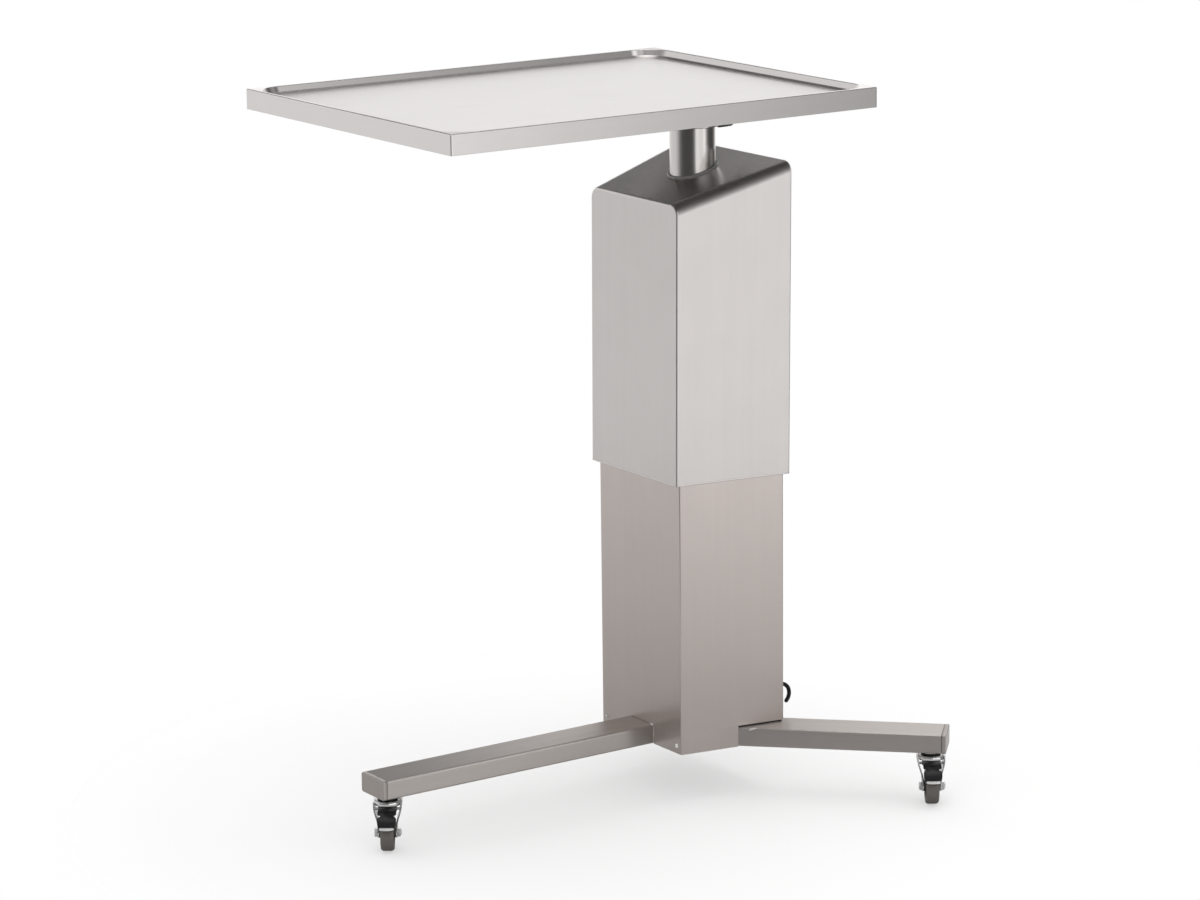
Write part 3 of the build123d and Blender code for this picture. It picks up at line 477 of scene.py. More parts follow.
def plain_finish(name, colour, rough, metal=0.0, grain_size=0.0009, depth=0.08, bump=0.15,
                 **plain):
    """Moulded, painted or plated finish: speckled grain, worn edges and handling marks."""
    material, t, sockets, spot, worn = start_material(name, colour, metal, 0.4, **plain)
    speckle = t.noise(spot, 1 / grain_size, 2.0, 0.6)
    tone = t.mix(worn, t.scaled(colour, t.plus(t.swing(speckle, depth), 1.0)),
                 (*(min(1.0, c * 1.3 + 0.01) for c in colour), 1))
    marks = t.group(marks_group, {"Place": spot, "Cloud Depth": 0.05, "Speck Depth": 0.03})
    give_looks(t, sockets, tone, t.plus(marks[0], rough), speckle, bump)
    return material


# tray_steel and shell_steel carry dark grey painted shade on the tray's back and the shell's
# inside.
tray_steel = brushed_steel("tray_steel", (0.745, 0.72, 0.708), 0.30, streaks=0.03,
                           polished=0.23, painted_shade_inside=True)
sleeve_steel = brushed_steel("sleeve_steel", (0.73, 0.695, 0.68), 0.31, polished=0.19)
shell_steel = brushed_steel("shell_steel", (0.67, 0.61, 0.58), 0.31, painted_shade_inside=True)
leg_steel = brushed_steel("leg_steel", (0.575, 0.535, 0.51), 0.40, 0.10, 0.08, wear=0.1)
post_steel = brushed_steel("post_steel", (0.63, 0.605, 0.59), 0.20, 0.10, 0.06, 0.0009, 0.006,
                           stretch=0.6, wear=0.3)
inner_steel = brushed_steel("inner_steel", (0.42, 0.43, 0.44), 0.42, 0.12, 0.05, stretch=0.0,
                            wear=0.3, own_places=False)
weld_steel = plain_finish("weld_steel", (0.62, 0.60, 0.58), 0.22, 1.0, 0.0015, 0.15, 0.5)
ring_grey = plain_finish("ring_grey", (0.36, 0.355, 0.35), 0.28)
fastener_steel = plain_finish("fastener_steel", (0.72, 0.72, 0.71), 0.16, 1.0, 0.002, 0.06)
black_oxide = plain_finish("black_oxide", (0.02, 0.02, 0.021), 0.5, 0.0, 0.002, 0.1)
# Near-white zinc: the near screws are the same as the far ones, and this lighter colour is a
# painted highlight on them.
zinc_painted_glint = plain_finish("zinc_painted_glint", (0.93, 0.93, 0.92), 0.25, 0.25, 0.002, 0.04)
ground_weld = plain_finish("ground_weld", (0.90, 0.89, 0.87), 0.30, 1.0, 0.0012, 0.08, 0.2)
castor_chrome = plain_finish("castor_chrome", (0.88, 0.88, 0.885), 0.20, 1.0, 0.003, 0.05,
                             0.05)
# The pedal's toe: its light colour is a painted highlight on the toe's top face.
toe_painted_highlight = plain_finish("toe_painted_highlight", (0.80, 0.80, 0.79), 0.35, 0.3, 0.0012, 0.06)
black_plastic = plain_finish("black_plastic", (0.010, 0.010, 0.010), 0.30,
                             **{"Specular IOR Level": 0.28})
tyre_grey = plain_finish("tyre_grey", (0.15, 0.138, 0.125), 0.45, 0.0, 0.0012, 0.3, 0.3)
wheel_plastic = plain_finish("wheel_plastic", (0.05, 0.048, 0.046), 0.45)
bush_plastic = plain_finish("bush_plastic", (0.75, 0.74, 0.70), 0.45)
actuator_paint = plain_finish("actuator_paint", (0.045, 0.045, 0.048), 0.42, 0.0, 0.0005, 0.2,
                              0.4)


# Tray: a pan of one sheet, its profile carried round a rounded rectangle


def plate_loops(half_x, half_y, radius, heights, middle_x, steps=14, support=1.2):
    """Stacked rounded rectangles, one for each profile point: corner centres at half minus
    radius, and points r (cos a, sin a) round them, with a support point beyond each end."""
    quarter = np.linspace(0, pi / 2, steps + 1)
    a = (quarter[None, :] + (np.arange(4) * pi / 2)[:, None]).reshape(-1)
    sx = np.repeat([1, -1, -1, 1], steps + 1)
    sy = np.repeat([1, 1, -1, -1], steps + 1)
    r = radius[:, None]
    x = middle_x + sx * (half_x[:, None] - r) + r * np.cos(a)
    y = sy * (half_y[:, None] - r) + r * np.sin(a)
    loops = np.stack([x, y, np.broadcast_to(heights[:, None], x.shape)], -1)
    loops = loops.reshape(len(radius), 4, steps + 1, 3)
    entry = np.array([[0, -1, 0], [1, 0, 0], [0, 1, 0], [-1, 0, 0]]) * support
    leave = np.array([[-1, 0, 0], [0, -1, 0], [1, 0, 0], [0, 1, 0]]) * support
    loops = np.concatenate([loops[:, :, :1] + entry[:, None], loops,
                            loops[:, :, -1:] + leave[:, None]], 2)
    return loops.reshape(len(radius), -1, 3)


def tray_pan():
    """The pan's profile runs from the well's floor, up its wall, over the rim, down the
    skirt and back along the underside. Each point is (inset from the skirt, height). The
    skirt has tight corners and the well wide ones. The polish stops at the skirt, and the
    back is marked for dark grey painted shade beyond the skirt's own thickness."""
    sheet, rim, depth, run, well_corner, skirt_corner = 1.5, 6.0, 10.5, 5.0, 44.0, 1.8
    top, low = tray_top, tray_low[2]
    floor, foot = top - depth, rim + run
    start = foot + 24.0
    shift = sheet * (sqrt(2) - 1)
    profile, wear = rounded(
        [(start, floor), (foot, floor), (rim, top), (0, top), (0, low), (sheet, low),
         (sheet, top - sheet), (rim - shift, top - sheet), (foot - shift, floor - sheet),
         (start, floor - sheet)],
        [0, 4.0, 1.6, skirt_corner, 0.5, 0.5, 1.0, 1.0, 5.0, 0], steps=6)
    wear[:9] = 0
    inset, height = profile.T
    radius = np.where(inset > 3, well_corner + rim - inset,
                      np.maximum(skirt_corner - inset, 0.2))
    half_x = (tray_high[0] - tray_low[0]) / 2 - inset
    loops = plate_loops(half_x, tray_high[1] - inset, radius, height,
                        (tray_low[0] + tray_high[0]) / 2)
    place = np.arange(len(inset))
    lowest = np.nonzero(height <= low + 0.01)[0][-1]
    # Faces of the back beyond the skirt's thickness, marked for dark grey painted shade.
    under = (place > lowest) & (inset > sheet + 1.1)
    polish = place < np.nonzero(inset < 0.01)[0][0]
    return solid(loops, wear[:, None], turn=True, under=under[:, None],
                 polish=polish[:, None])


# Column covers


def half_width(x, inset):
    """Half the column's plan width at x, set in square to its slanting sides."""
    return sleeve_front_half + (x - sleeve_low[0]) * taper - inset * taper_length


def roof_height(x, inset):
    """Height of the roof plane at x, set in square to the plane."""
    return roof_front + (x - sleeve_low[0]) * roof_slope - inset * roof_length


def arches(x, inset, bottom, roof_bend=17.0, steps=12, support=0.4):
    """Open arches across the column: straight sides up to a bend of the roof's radius less
    the inset, then the roof. One arch for each x and inset, from the near side to the far."""
    bend = np.maximum(roof_bend - inset, 0.4)[:, None]
    half = half_width(x, inset)[:, None]
    top = roof_height(x, inset)[:, None]
    a = np.linspace(0, pi / 2, steps + 1)[None, :]
    bend_y = -half + bend - bend * np.cos(a)
    bend_z = top - bend + bend * np.sin(a)
    side_y = -half + np.zeros((1, 2))
    side_z = np.concatenate([bottom + 0 * top, top - bend - support], 1)
    roof_y = -half + bend + support
    near_y = np.concatenate([side_y, bend_y, roof_y], 1)
    near_z = np.concatenate([side_z, bend_z, top], 1)
    y = np.concatenate([near_y, -near_y[:, ::-1]], 1)
    z = np.concatenate([near_z, near_z[:, ::-1]], 1)
    return np.stack([np.broadcast_to(x[:, None], y.shape), y, z], -1)


def lean(z):
    """The sleeve hangs 1 mm in 100 forward at its foot: x grows in line with the height."""
    return (z - (sleeve_low[2] + sleeve_high[2]) / 2) / 100


def sleeve_skin(inset, edge, bottom):
    """One skin of the sleeve: arches from the middle of the rear face, round its edge, along
    the column and round the front edge to the middle of the front face. Of the arches along
    the column the roof is polished, and the bends beside it are duller than the walls."""
    a = np.linspace(0, pi / 2, 7)
    run_rows, duller_bend = slice(8, 10), 4.5
    front, rear = sleeve_low[0] + inset, sleeve_high[0] - inset
    turn_x = edge * (1 - np.sin(a))
    turn_in = edge * (1 - np.cos(a))
    x = np.concatenate([[rear], rear - turn_x[::-1], [rear - edge - 0.4],
                        [front + edge + 0.4], front + turn_x, [front]])
    depth = np.concatenate([[edge + 0.4], turn_in[::-1], [0, 0], turn_in, [edge + 0.4]])
    wear = np.concatenate([[0], np.sin(2 * a[::-1]), [0, 0], np.sin(2 * a), [0]])
    points = arches(x, inset + depth, bottom)
    points[..., 0] += lean(points[..., 2])
    bend = np.linspace(0, 1, (points.shape[1] - 6) // 2)
    roof = np.concatenate([[0, 0], bend - duller_bend * np.sin(pi * bend), [1]])
    polish = np.zeros(points.shape[:2])
    polish[run_rows] = np.concatenate([roof, roof[::-1]])
    return points, wear, polish


def doubled(outer, inner, wear, polish):
    """Closed shell between two open grids with capped ends, joined along their lower edges."""
    rows, cols = outer.shape[:2]
    count = rows * cols
    skin = grid(outer, caps=(True, True), wear=wear[:, None], turn=True, polish=polish)
    back = flipped(grid(inner, caps=(True, True), turn=True, polish=0.0))
    starts = np.arange(rows) * cols
    ring = np.concatenate([starts, starts[::-1] + cols - 1])
    after = np.roll(ring, -1)
    rim = np.stack([after, ring, ring + count, after + count], 1)
    rim_places = np.tile([[0.0, 0.0], [1.0, 0.0], [1.0, 1.5], [0.0, 1.5]], (len(rim), 1))
    both = {key: np.concatenate([skin[key], back[key]])
            for key in ("points", "places", "wear", "polish")}
    faces = skin["faces"] + [tuple(k + count for k in f) for f in back["faces"]]
    return {**both, "faces": faces + [tuple(f) for f in rim.tolist()],
            "places": np.concatenate([both["places"], rim_places])}


def plan_loop(inset, bend, steps=8):
    """The column's four-sided plan, set in by inset, with bent corners."""
    front, rear = sleeve_low[0] + inset, sleeve_high[0] - inset
    a, b = half_width(front, inset), half_width(rear, inset)
    return rounded([(front, -a), (rear, -b), (rear, b), (front, a)], bend, steps, True, 0.3)


def sleeve():
    """Upper housing of one sheet with a hem folded inside its lower edge. The hem is a ring:
    a rounded strip section (inset, height) carried round the plan."""
    bottom = sleeve_low[2]
    outer, wear, polish = sleeve_skin(0.0, 2.4, bottom + 2.0)
    inner = sleeve_skin(1.5, 0.6, bottom + 2.0)[0]
    section, worn = rounded([(0.4, bottom + 3.4), (-0.6, bottom + 2.4), (-0.6, bottom),
                             (2.7, bottom), (2.7, bottom + 12.0), (1.45, bottom + 12.0),
                             (1.45, bottom + 3.4)], [0.05, 1.0, 1.2, 0.9, 0.3, 0.05, 0.05], 4,
                            True, 0.02)
    loops = [plan_loop(i, max(3.0 - i, 0.3), 6)[0] for i in section[:, 0]]
    loops = np.stack([np.concatenate([p, np.full((len(p), 1), z)], 1)
                      for p, z in zip(loops, section[:, 1])])
    loops[..., 0] += lean(loops[..., 2])
    hem = grid(loops, True, True, wear=worn[:, None], turn=True)
    return [doubled(outer, inner, wear, polish), hem]


def sliced_loop(inset, bend, cuts):
    """The plan loop with extra points where the legs' side planes cut it. Each cut is a point
    on the plane and its normal; the place is found from the change of sign of the distance."""
    loop, wear = plan_loop(inset, bend)
    shut = np.concatenate([loop, loop[:1]])
    length = np.concatenate([[0.0], np.cumsum(np.linalg.norm(np.diff(shut, axis=0), axis=1))])
    marks = []
    for point, normal, towards in cuts:
        away = (shut - point) @ normal
        k = np.nonzero((away[:-1] * away[1:] < 0) & ((shut[:-1] - point) @ towards > 0))[0][0]
        marks.append(length[k] + (length[k + 1] - length[k]) * away[k] / (away[k] - away[k + 1]))
    stations = np.concatenate([length[:-1], marks])
    order = np.argsort(stations)
    x = np.interp(stations, length, shut[:, 0])[order]
    y = np.interp(stations, length, shut[:, 1])[order]
    worn = np.concatenate([wear, np.zeros(len(marks))])[order]
    return np.stack([x, y], 1), worn, stations[order], np.array(marks)


def lower_shell():
    """Inner housing: a wall between an outer and an inner plan loop, with the cells left out
    where the legs pass, up to a slot over each rear leg. A rim closes the wall wherever a
    cell has no neighbour."""
    gap, front_top, rear_top = leg_half + 0.8, leg_top + 0.4, leg_top + 3.0
    cuts = []
    for angle in (180.0, -rear_angle, rear_angle):
        a = radians(angle)
        along, side = np.array([cos(a), sin(a)]), np.array([-sin(a), cos(a)])
        for sign in (-1, 1):
            cuts.append((np.array([junction_x, 0.0]) + sign * gap * side, side, along))
    outer, wear, stations, marks = sliced_loop(shell_inset, 2.5, cuts)
    inner = sliced_loop(shell_inset + 1.5, 1.0, cuts)[0]
    heights = np.array([shell_low[2], front_top, rear_top, rear_top + 0.5,
                        shell_high[2] - 0.3, shell_high[2]])
    middle = (stations + np.roll(stations, -1)) / 2
    middle[-1] = stations[-1] + 1
    cut_out, rear_cut = np.zeros((2, len(stations)), bool)
    for leg, (low, high) in enumerate(np.sort(marks.reshape(-1, 2))):
        inside = (middle > low) & (middle < high)
        if high - low > stations[-1] / 2:
            inside = ~inside
        cut_out |= inside
        rear_cut |= inside & (leg > 0)
    n, levels = len(stations), len(heights)
    kept = np.ones((n, levels - 1), bool)
    kept[:, 0], kept[:, 1] = ~cut_out, ~rear_cut
    points = np.stack([np.concatenate([np.repeat(p[:, None], levels, 1),
                                       np.broadcast_to(heights[:, None], (n, levels, 1))], 2)
                       for p in (outer, inner)]).reshape(-1, 3)
    number = np.arange(2 * n * levels).reshape(2, n, levels)
    s, k = np.nonzero(kept)
    e = (s + 1) % n

    def cells(*corners):
        """Quads whose corners are given as skin, station and level."""
        return np.stack([number[corner] for corner in corners], 1)

    quads = [cells((0, s, k), (0, e, k), (0, e, k + 1), (0, s, k + 1)),
             cells((1, s, k + 1), (1, e, k + 1), (1, e, k), (1, s, k))]
    padded = np.pad(kept, ((0, 0), (1, 1)))
    for corner in (0, 1):
        s, k = np.nonzero(kept & ~np.roll(kept, 1 - 2 * corner, 0))
        at = (s + corner) % n
        edge = cells((0, at, k), (0, at, k + 1), (1, at, k + 1), (1, at, k))
        s, k = np.nonzero(kept & ~(padded[:, 2:] if corner else padded[:, :-2]))
        ahead, level = (s + 1) % n, k + corner
        rim = cells((0, s, level), (0, ahead, level), (1, ahead, level), (1, s, level))
        quads += [edge, rim] if corner else [edge[:, ::-1], rim[:, ::-1]]
    quads = np.concatenate(quads)
    used, quads = np.unique(quads, return_inverse=True)
    quads = quads.reshape(-1, 4)
    around = np.tile(np.repeat(stations, levels), 2)[used]
    up = np.tile(heights, 2 * n)[used]
    corner_around = around[quads]
    wrapped = np.ptp(corner_around, axis=1) > stations[-1] / 2
    corner_around[wrapped] = np.where(corner_around[wrapped] < stations[-1] / 2,
                                      corner_around[wrapped] + stations[-1] + 10,
                                      corner_around[wrapped])
    places = np.stack([corner_around, up[quads]], -1).reshape(-1, 2)
    worn = np.tile(np.repeat(wear, levels), 2)[used]
    # The inner skin is marked for dark grey painted shade inside the shell.
    inside = np.repeat([0.0, 1.0], n * levels)[used]
    return [{"points": points[used], "faces": [tuple(q) for q in quads.tolist()],
             "places": places, "wear": worn, "under": inside}]


# Post, ring, socket and clamp


def post_ring():
    """Trim ring in the roof's plane: a rounded section (radius, height above the roof)
    carried round the post, each point lifted to the roof's height at its own x."""
    section, wear = rounded(oblong(post_radius + 0.05, post_radius + 4.0, 0.0, 2.6),
                            [0.1, 0.3, 1.4, 0.5], 6, True, 0.1)
    a = full_turn(128)[None, :]
    x = post_x + section[:, :1] * np.cos(a)
    y = section[:, :1] * np.sin(a)
    z = roof_height(x - lean(sleeve_high[2] - 20), -section[:, 1:])
    return grid(np.stack([x, y, z], -1), True, True, wear=wear[:, None])


knob_z = (knob_low[2] + knob_high[2]) / 2


def tray_socket():
    """Turned flange and barrel over the post's top, and a boss for the clamp screw."""
    top, low = socket_high[2], socket_low[2]
    shoulder = top - 6.0
    flange = (socket_high[1] - socket_low[1]) / 2
    barrel, bore = post_radius + 7.0, post_radius + 0.25
    body = spun([(2.0, shoulder), (2.0, top), (flange, top), (flange, shoulder),
                 (barrel, shoulder), (barrel, low), (bore, low), (bore, shoulder)],
                [0.3, 0.5, 1.0, 1.0, 2.0, 1.2, 0.6, 0.5], 4, 96, True, 0.2)
    boss = spun(oblong(5.1, 8.5, 0, 7.5), [0.2, 0.2, 1.0, 0.5], 4, 48, True, 0.2)
    return [moved(body, (post_x, 0, 0)),
            moved(boss, (post_x + barrel - 3.5, 0, knob_z), ALONG_X)]


def clamp_knob():
    """Fluted knob: the radius dips by up to a lobe's depth in seven flutes, fading towards
    its domed outer end."""
    radius, length = (knob_high[1] - knob_low[1]) / 2, knob_high[0] - knob_low[0]
    profile, wear = rounded([(5.05, 2.0), (7.5, 2.0), (8.0, 0.0), (radius, 0.0),
                             (radius, length), (3.0, length)],
                            [0, 0.3, 1.0, 2.5, 3.5, 0], 6)
    profile[-1] = (3.0, length - 0.3)

    def flutes(a, points, count=7, depth=0.09, start=9.0, fade=6.0):
        amount = np.clip((points[:, :1] - start) / fade, 0, 1)
        return 1 - amount * depth * np.clip(np.cos(count * a), 0, 1) ** 1.5

    return [moved(turned(profile, wear, 168, flutes), (knob_low[0], 0, knob_z), ALONG_X)]


def clamp_screw():
    """Clamp screw with a fine thread: the radius follows a triangle wave along its length."""
    low, high = box_of("clamp_screw")
    length = high[0] - low[0]
    thread_depth, pitch = 0.45, 1.25
    z = np.concatenate([[0.0, 0.6], np.linspace(1.0, length - 0.5, 90), [length]])
    wave = thread_depth * np.abs(((z / pitch) % 1.0) * 2 - 1)
    wave[:2], wave[-1] = (1.2, 0.6), 0.8
    profile = np.stack([5.0 - wave, z], 1)
    return [moved(turned(profile, 0.3, 40), (low[0], 0, (low[2] + high[2]) / 2), ALONG_X)]


# Legs


def leg_section():
    """Rounded section of a leg, across and up from its middle."""
    h, v = leg_half, (leg_top - leg_bottom) / 2
    return rounded([(-h, -v), (h, -v), (h, v), (-h, v)], 3.2, 5, True, 0.4)


def leg_frame(angle):
    """Direction, sideways direction and start point of a leg's middle line."""
    a = radians(angle)
    start = np.array([junction_x, 0, (leg_bottom + leg_top) / 2])
    return np.array([cos(a), sin(a), 0]), np.array([-sin(a), cos(a), 0]), start


def leg_rows(section, angle, runs, insets, mitre=None):
    """Rows of a leg's section at runs from the junction, shrunk by insets. In the first row
    the run of each point follows the mitre planes: run = sideways offset times a slope."""
    along, side, start = leg_frame(angle)
    half = np.array([leg_half, (leg_top - leg_bottom) / 2])
    scale = 1 - insets[:, None] / half
    spots = section[None] * scale[:, None]
    run = np.broadcast_to(runs[:, None], spots.shape[:2]).copy()
    if mitre is not None:
        offset = section[:, 0]
        run[0] = np.abs(offset) * np.where(offset > 0, mitre[0], mitre[1])
    return (start + run[..., None] * along + spots[..., :1] * side
            + spots[..., 1:] * np.array([0, 0, 1.0]))


cap_depth = 7.0
front_slope = 1 / tan(radians((180 + rear_angle) / 2 - rear_angle))
rear_slope = 1 / tan(radians(rear_angle))
leg_lines = {"front_leg": (180.0, front_reach, (front_slope, front_slope)),
             "near_rear_leg": (-rear_angle, rear_reach, (rear_slope, front_slope)),
             "far_rear_leg": (rear_angle, rear_reach, (front_slope, rear_slope))}


def leg_tube(angle, reach, mitre):
    """Leg tube from its mitre to the seam of its end cap, with a fine groove at the seam."""
    section, wear = leg_section()
    seam = reach - cap_depth
    runs = np.array([0.0, 70.0, 71.0, seam - 0.9, seam - 0.45, seam - 0.2])
    insets = np.array([0, 0, 0, 0, 0.08, 0.45])
    rows = leg_rows(section, angle, runs, insets, mitre)
    return [solid(rows, wear * np.array([0, 1, 1, 1, 1, 1])[:, None] * 0.8)]


def leg_cap(angle, reach):
    """Welded end cap with its own rounded outer edge."""
    section, wear = leg_section()
    a, edge, seam = np.linspace(0, pi / 2, 6), 1.3, reach - cap_depth
    runs = np.concatenate([[seam + 0.2, seam + 0.45, seam + 0.9, reach - edge - 0.3],
                           reach - edge + edge * np.sin(a), [reach]])
    insets = np.concatenate([[0.45, 0.08, 0, 0], edge * (1 - np.cos(a)), [edge + 0.4]])
    worn = np.concatenate([[0.4, 0.2, 0, 0], np.sin(2 * a), [0]])
    return solid(leg_rows(section, angle, runs, insets),
                 np.maximum(wear * 0.7, worn[:, None]))


def bead(start, end, radius, pitch=3.2):
    """Weld bead along a line: a small round section whose size ripples along the line."""
    run = np.subtract(end, start)
    total = np.linalg.norm(run)
    t = np.linspace(0, 1, max(int(total / pitch * 6), 12) + 1)
    middle = start + run * t[:, None]
    direction = run / total
    first = np.cross(direction, [0.3, 0.5, 0.81])
    first /= np.linalg.norm(first)
    second = np.cross(direction, first)
    size = radius * (0.86 + 0.14 * np.cos(2 * pi * t * total / pitch))
    size *= np.sqrt(np.clip(1 - (2 * t - 1) ** 16, 0.02, 1))
    a = full_turn(10)[None, :, None]
    points = middle[:, None] + size[:, None, None] * (np.cos(a) * first + np.sin(a) * second)
    return solid(points, 0.4)


# Small things on the column


def button_screw():
    """Button head with a hexagonal recess; Z points out of the wall."""
    head, deep = 3.6, 1.8
    a = np.linspace(0, pi / 2, 7)
    dome = np.stack([1.75 + (head - 1.75) * np.cos(a), 0.35 + (deep - 0.35) * np.sin(a)], 1)
    profile = np.concatenate([[(head, 0.0)], dome, [(1.35, deep - 0.15), (1.3, 0.7), (0.3, 0.5)]])
    wear = np.concatenate([[0], np.sin(a), [0.6, 0, 0]])

    def recess(angle, points):
        inside = (points[:, :1] < 1.5).astype(float)
        return 1 + inside * (hexagonal(angle) - 1)

    return turned(profile, wear, 48, recess)


def shell_screws(near):
    """The shell's screws of one side, low on the narrow face and the wide face."""
    z = leg_bottom + 12.0
    patches = []
    for x, side, y in ((shell_low[0], -1, 95), (shell_high[0], 1, 60)):
        axes = [[0, side, 0], [0, 0, 1], [side, 0, 0]]
        patches.append(moved(button_screw(), (x, -y if near else y, z), axes))
    return patches


def cable_hook():
    """Down-turned hook: a round section carried along an arc from the foot plate, with a
    rounded tip, and a foot plate with eased edges."""
    wall, y = shell_high[0], -115.0
    reach, height, radius, thick = 8.2, 148.6, 16.5, 3.2
    start = pi - atan2(sqrt(radius**2 - reach**2), reach) - 0.02
    a = np.linspace(start, radians(-48), 60)
    centre = np.array([wall + reach, y, height])
    out = np.stack([np.cos(a), 0 * a, np.sin(a)], 1)
    tip = np.stack([np.sin(a[-1:]), 0 * a[-1:], -np.cos(a[-1:])], 1)
    path = centre + radius * out
    size = np.ones(60)
    b = np.linspace(0, pi / 2, 8)[1:]
    path = np.concatenate([path, path[-1] + tip * (thick * np.sin(b))[:, None]])
    out = np.concatenate([out, np.repeat(out[-1:], len(b), 0)])
    size = np.concatenate([size, np.maximum(np.cos(b), 0.03)])
    c = full_turn(20)
    points = (path[:, None] + (size[:, None] * thick * np.cos(c))[..., None] * out[:, None]
              + (size[:, None] * thick * np.sin(c))[..., None] * np.array([0, 1.0, 0]))
    low, high = 140.0, hook_top
    foot = plate_loops(np.array([8.0, 8.6, 9.0, 9.0, 8.0]),
                       np.array([1.0, 1.6, 2.0, 2.0, 1.0]) + (high - low) / 2 - 2,
                       np.array([2.0, 2.6, 3.0, 3.0, 2.0]), np.array([3.0, 2.8, 2.2, 0.0, 0.0]),
                       0.0, 6, 0.2)
    foot = solid(foot, np.array([0.4, 1, 0.6, 0, 0])[:, None])
    return [solid(points, 0.2), moved(foot, (wall, y, (low + high) / 2), ALONG_X)]


# Castors, made with the swivel axis on Z and the wheel trailing along +X

trail, wheel_radius = 22.0, 28.0
castor_top = leg_bottom
crown_top = castor_top - 8.6
crown_low = crown_top - 7.0


def castor_stem():
    """Fixed half of the swivel: stem, flanged plate, upper race and riveted kingpin head."""
    top, low = stem_high[2], stem_low[2]
    return [spun(
        [(1.0, low), (6.9, low), (7.0, crown_low - 0.1), (4.0, crown_low - 0.1),
         (4.0, castor_top - 5.1), (17.0, castor_top - 5.1), (17.0, castor_top - 2.5),
         (22.0, castor_top - 2.5), (22.0, castor_top), (5.0, castor_top), (5.0, top), (1.0, top)],
        [0, 0.8, 0.4, 0.1, 0.3, 0.8, 0.3, 0.9, 0.5, 0.3, 0.6, 0], 4, 72)]


def swivel_race():
    """Ball race ring with rounded walls."""
    return [spun(oblong(8.0, 15.5, crown_top, crown_top + 3.4), [0.3, 1.3, 1.3, 0.3], 6, 64,
                 True, 0.1)]


def castor_fork():
    """Pressed fork. The crown is turned; each cheek is a rounded section, thick in y and wide
    in x, whose place and width at each height follow tangent lines from the crown's band to
    the round eye at the axle."""
    crown = spun([(4.05, crown_low), (22.0, crown_low), (22.0, crown_top), (12.0, crown_top),
                  (9.5, crown_top - 0.3), (4.05, crown_top - 0.3)],
                 [0.3, 1.6, 3.2, 1.0, 0.5, 0.3], 6, 96, True, 0.1)
    eye, front, rear = 8.5, -13.0, 15.0
    z = np.concatenate([wheel_radius - eye * np.cos(np.linspace(0.05, pi / 2, 14)),
                        np.linspace(wheel_radius + 1, crown_low + 5.2, 40)])

    def tangent(x0, z0, side):
        """Edge of the hull of the eye and a corner point of the band, at every height."""
        dx, dz = trail - x0, wheel_radius - z0
        gap = sqrt(dx**2 + dz**2)
        turn = atan2(dz, dx) + side * asin(eye / gap)
        run = sqrt(gap**2 - eye**2)
        tx, tz = x0 + run * cos(turn), z0 + run * sin(turn)
        line = x0 + (z - z0) * (tx - x0) / (tz - z0)
        circle = trail + side * np.sqrt(np.clip(eye**2 - (z - wheel_radius) ** 2, 0, None))
        return np.where(z > tz, line, circle)

    left, right = tangent(front, crown_low, -1), tangent(rear, crown_low + 7.0, 1)
    middle, half = (left + right) / 2, np.maximum((right - left) / 2, 0.4)
    t = np.clip((z - wheel_radius - eye) / (crown_low - wheel_radius - eye), 0, 1)
    at_axle, at_crown, half_sheet, squareness = 13.7, 20.3, 1.3, 0.28
    spread = at_axle + (at_crown - at_axle) * t * t * (3 - 2 * t)
    c = full_turn(28)
    wide, thick = (np.sign(v) * np.abs(v) ** squareness for v in (np.cos(c), np.sin(c)))
    thick = half_sheet * thick
    cheeks = []
    for side in (-1, 1):
        points = np.stack([middle[:, None] + half[:, None] * wide,
                           side * spread[:, None] + thick,
                           np.broadcast_to(z[:, None], (len(z), 28))], -1)
        cheeks.append(solid(points, np.abs(wide)[None] ** 8 * 0.8))
    return [crown, *cheeks]


def on_axle(patch):
    """A patch turned about Z laid along the wheel's axle."""
    return moved(patch, (trail, 0, wheel_radius), ALONG_Y)


def castor_axle():
    """Axle bolt and nut: hexagons with chamfered corners outside the cheeks."""

    def flats(a, points):
        amount = np.clip((points[:, :1] - 5.4) / 0.8, 0, 1)
        return 1 + amount * (hexagonal(a) - 1)

    patches = []
    for side in (-1, 1):
        hexagon = spun([(1.5, 4.6), (5.0, 4.6), (6.24, 3.9), (6.24, 0.5), (5.6, 0.0),
                        (1.5, 0.0)], [0, 0.4, 0.4, 0.2, 0.2, 0], 3, 60, sides=flats)
        axes = [[1, 0, 0], [0, 0, -side], [0, side, 0]]
        patches.append(moved(hexagon, (trail, side * 15.0, wheel_radius), axes))
    stub = spun(oblong(0.8, 3.9, 0, 1.4), [0, 0.1, 0.6, 0], 3, 32)
    shank = spun(oblong(0.8, 4.0, -15.2, 15.2), [0, 0.2, 0.2, 0], 3, 40)
    return [*patches, moved(stub, (trail, 19.5, wheel_radius), axes), on_axle(shank)]


def wheel_hub():
    """Wheel centre: hub, dished web and rim, turned about the axle."""
    half = [(20.0, 8.4), (17.4, 8.4), (16.6, 2.2), (9.4, 2.6), (8.6, 12.0), (4.05, 12.0)]
    bends = [0.4, 0.4, 1.5, 1.5, 0.8, 0.3]
    corners = [(r, -h) for r, h in half[::-1]] + half
    return [on_axle(spun(corners, bends[::-1] + bends, 4, 72, True, 0.1))]


def tyre():
    """Solid tyre: a crowned tread between rounded shoulders, turned about the axle."""
    half = [(28.0, 5.0), (27.4, 8.2), (25.6, 10.0), (21.6, 10.0), (20.0, 8.4)]
    bends = [4.0, 1.2, 1.2, 0.8, 0.2]
    profile, _ = rounded([(r, -h) for r, h in half[::-1]] + half, bends[::-1] + bends, 4,
                         True, 0.05)
    return [on_axle(turned(profile, 0.0, 120, shut=True))]


pedal_centre_x, pedal_centre_z, pedal_inner = 24.0, 29.6, 31.6
pedal_sheet, pedal_half = 3.2, 14.0
pin_place = (9.0, 0, 60.4)


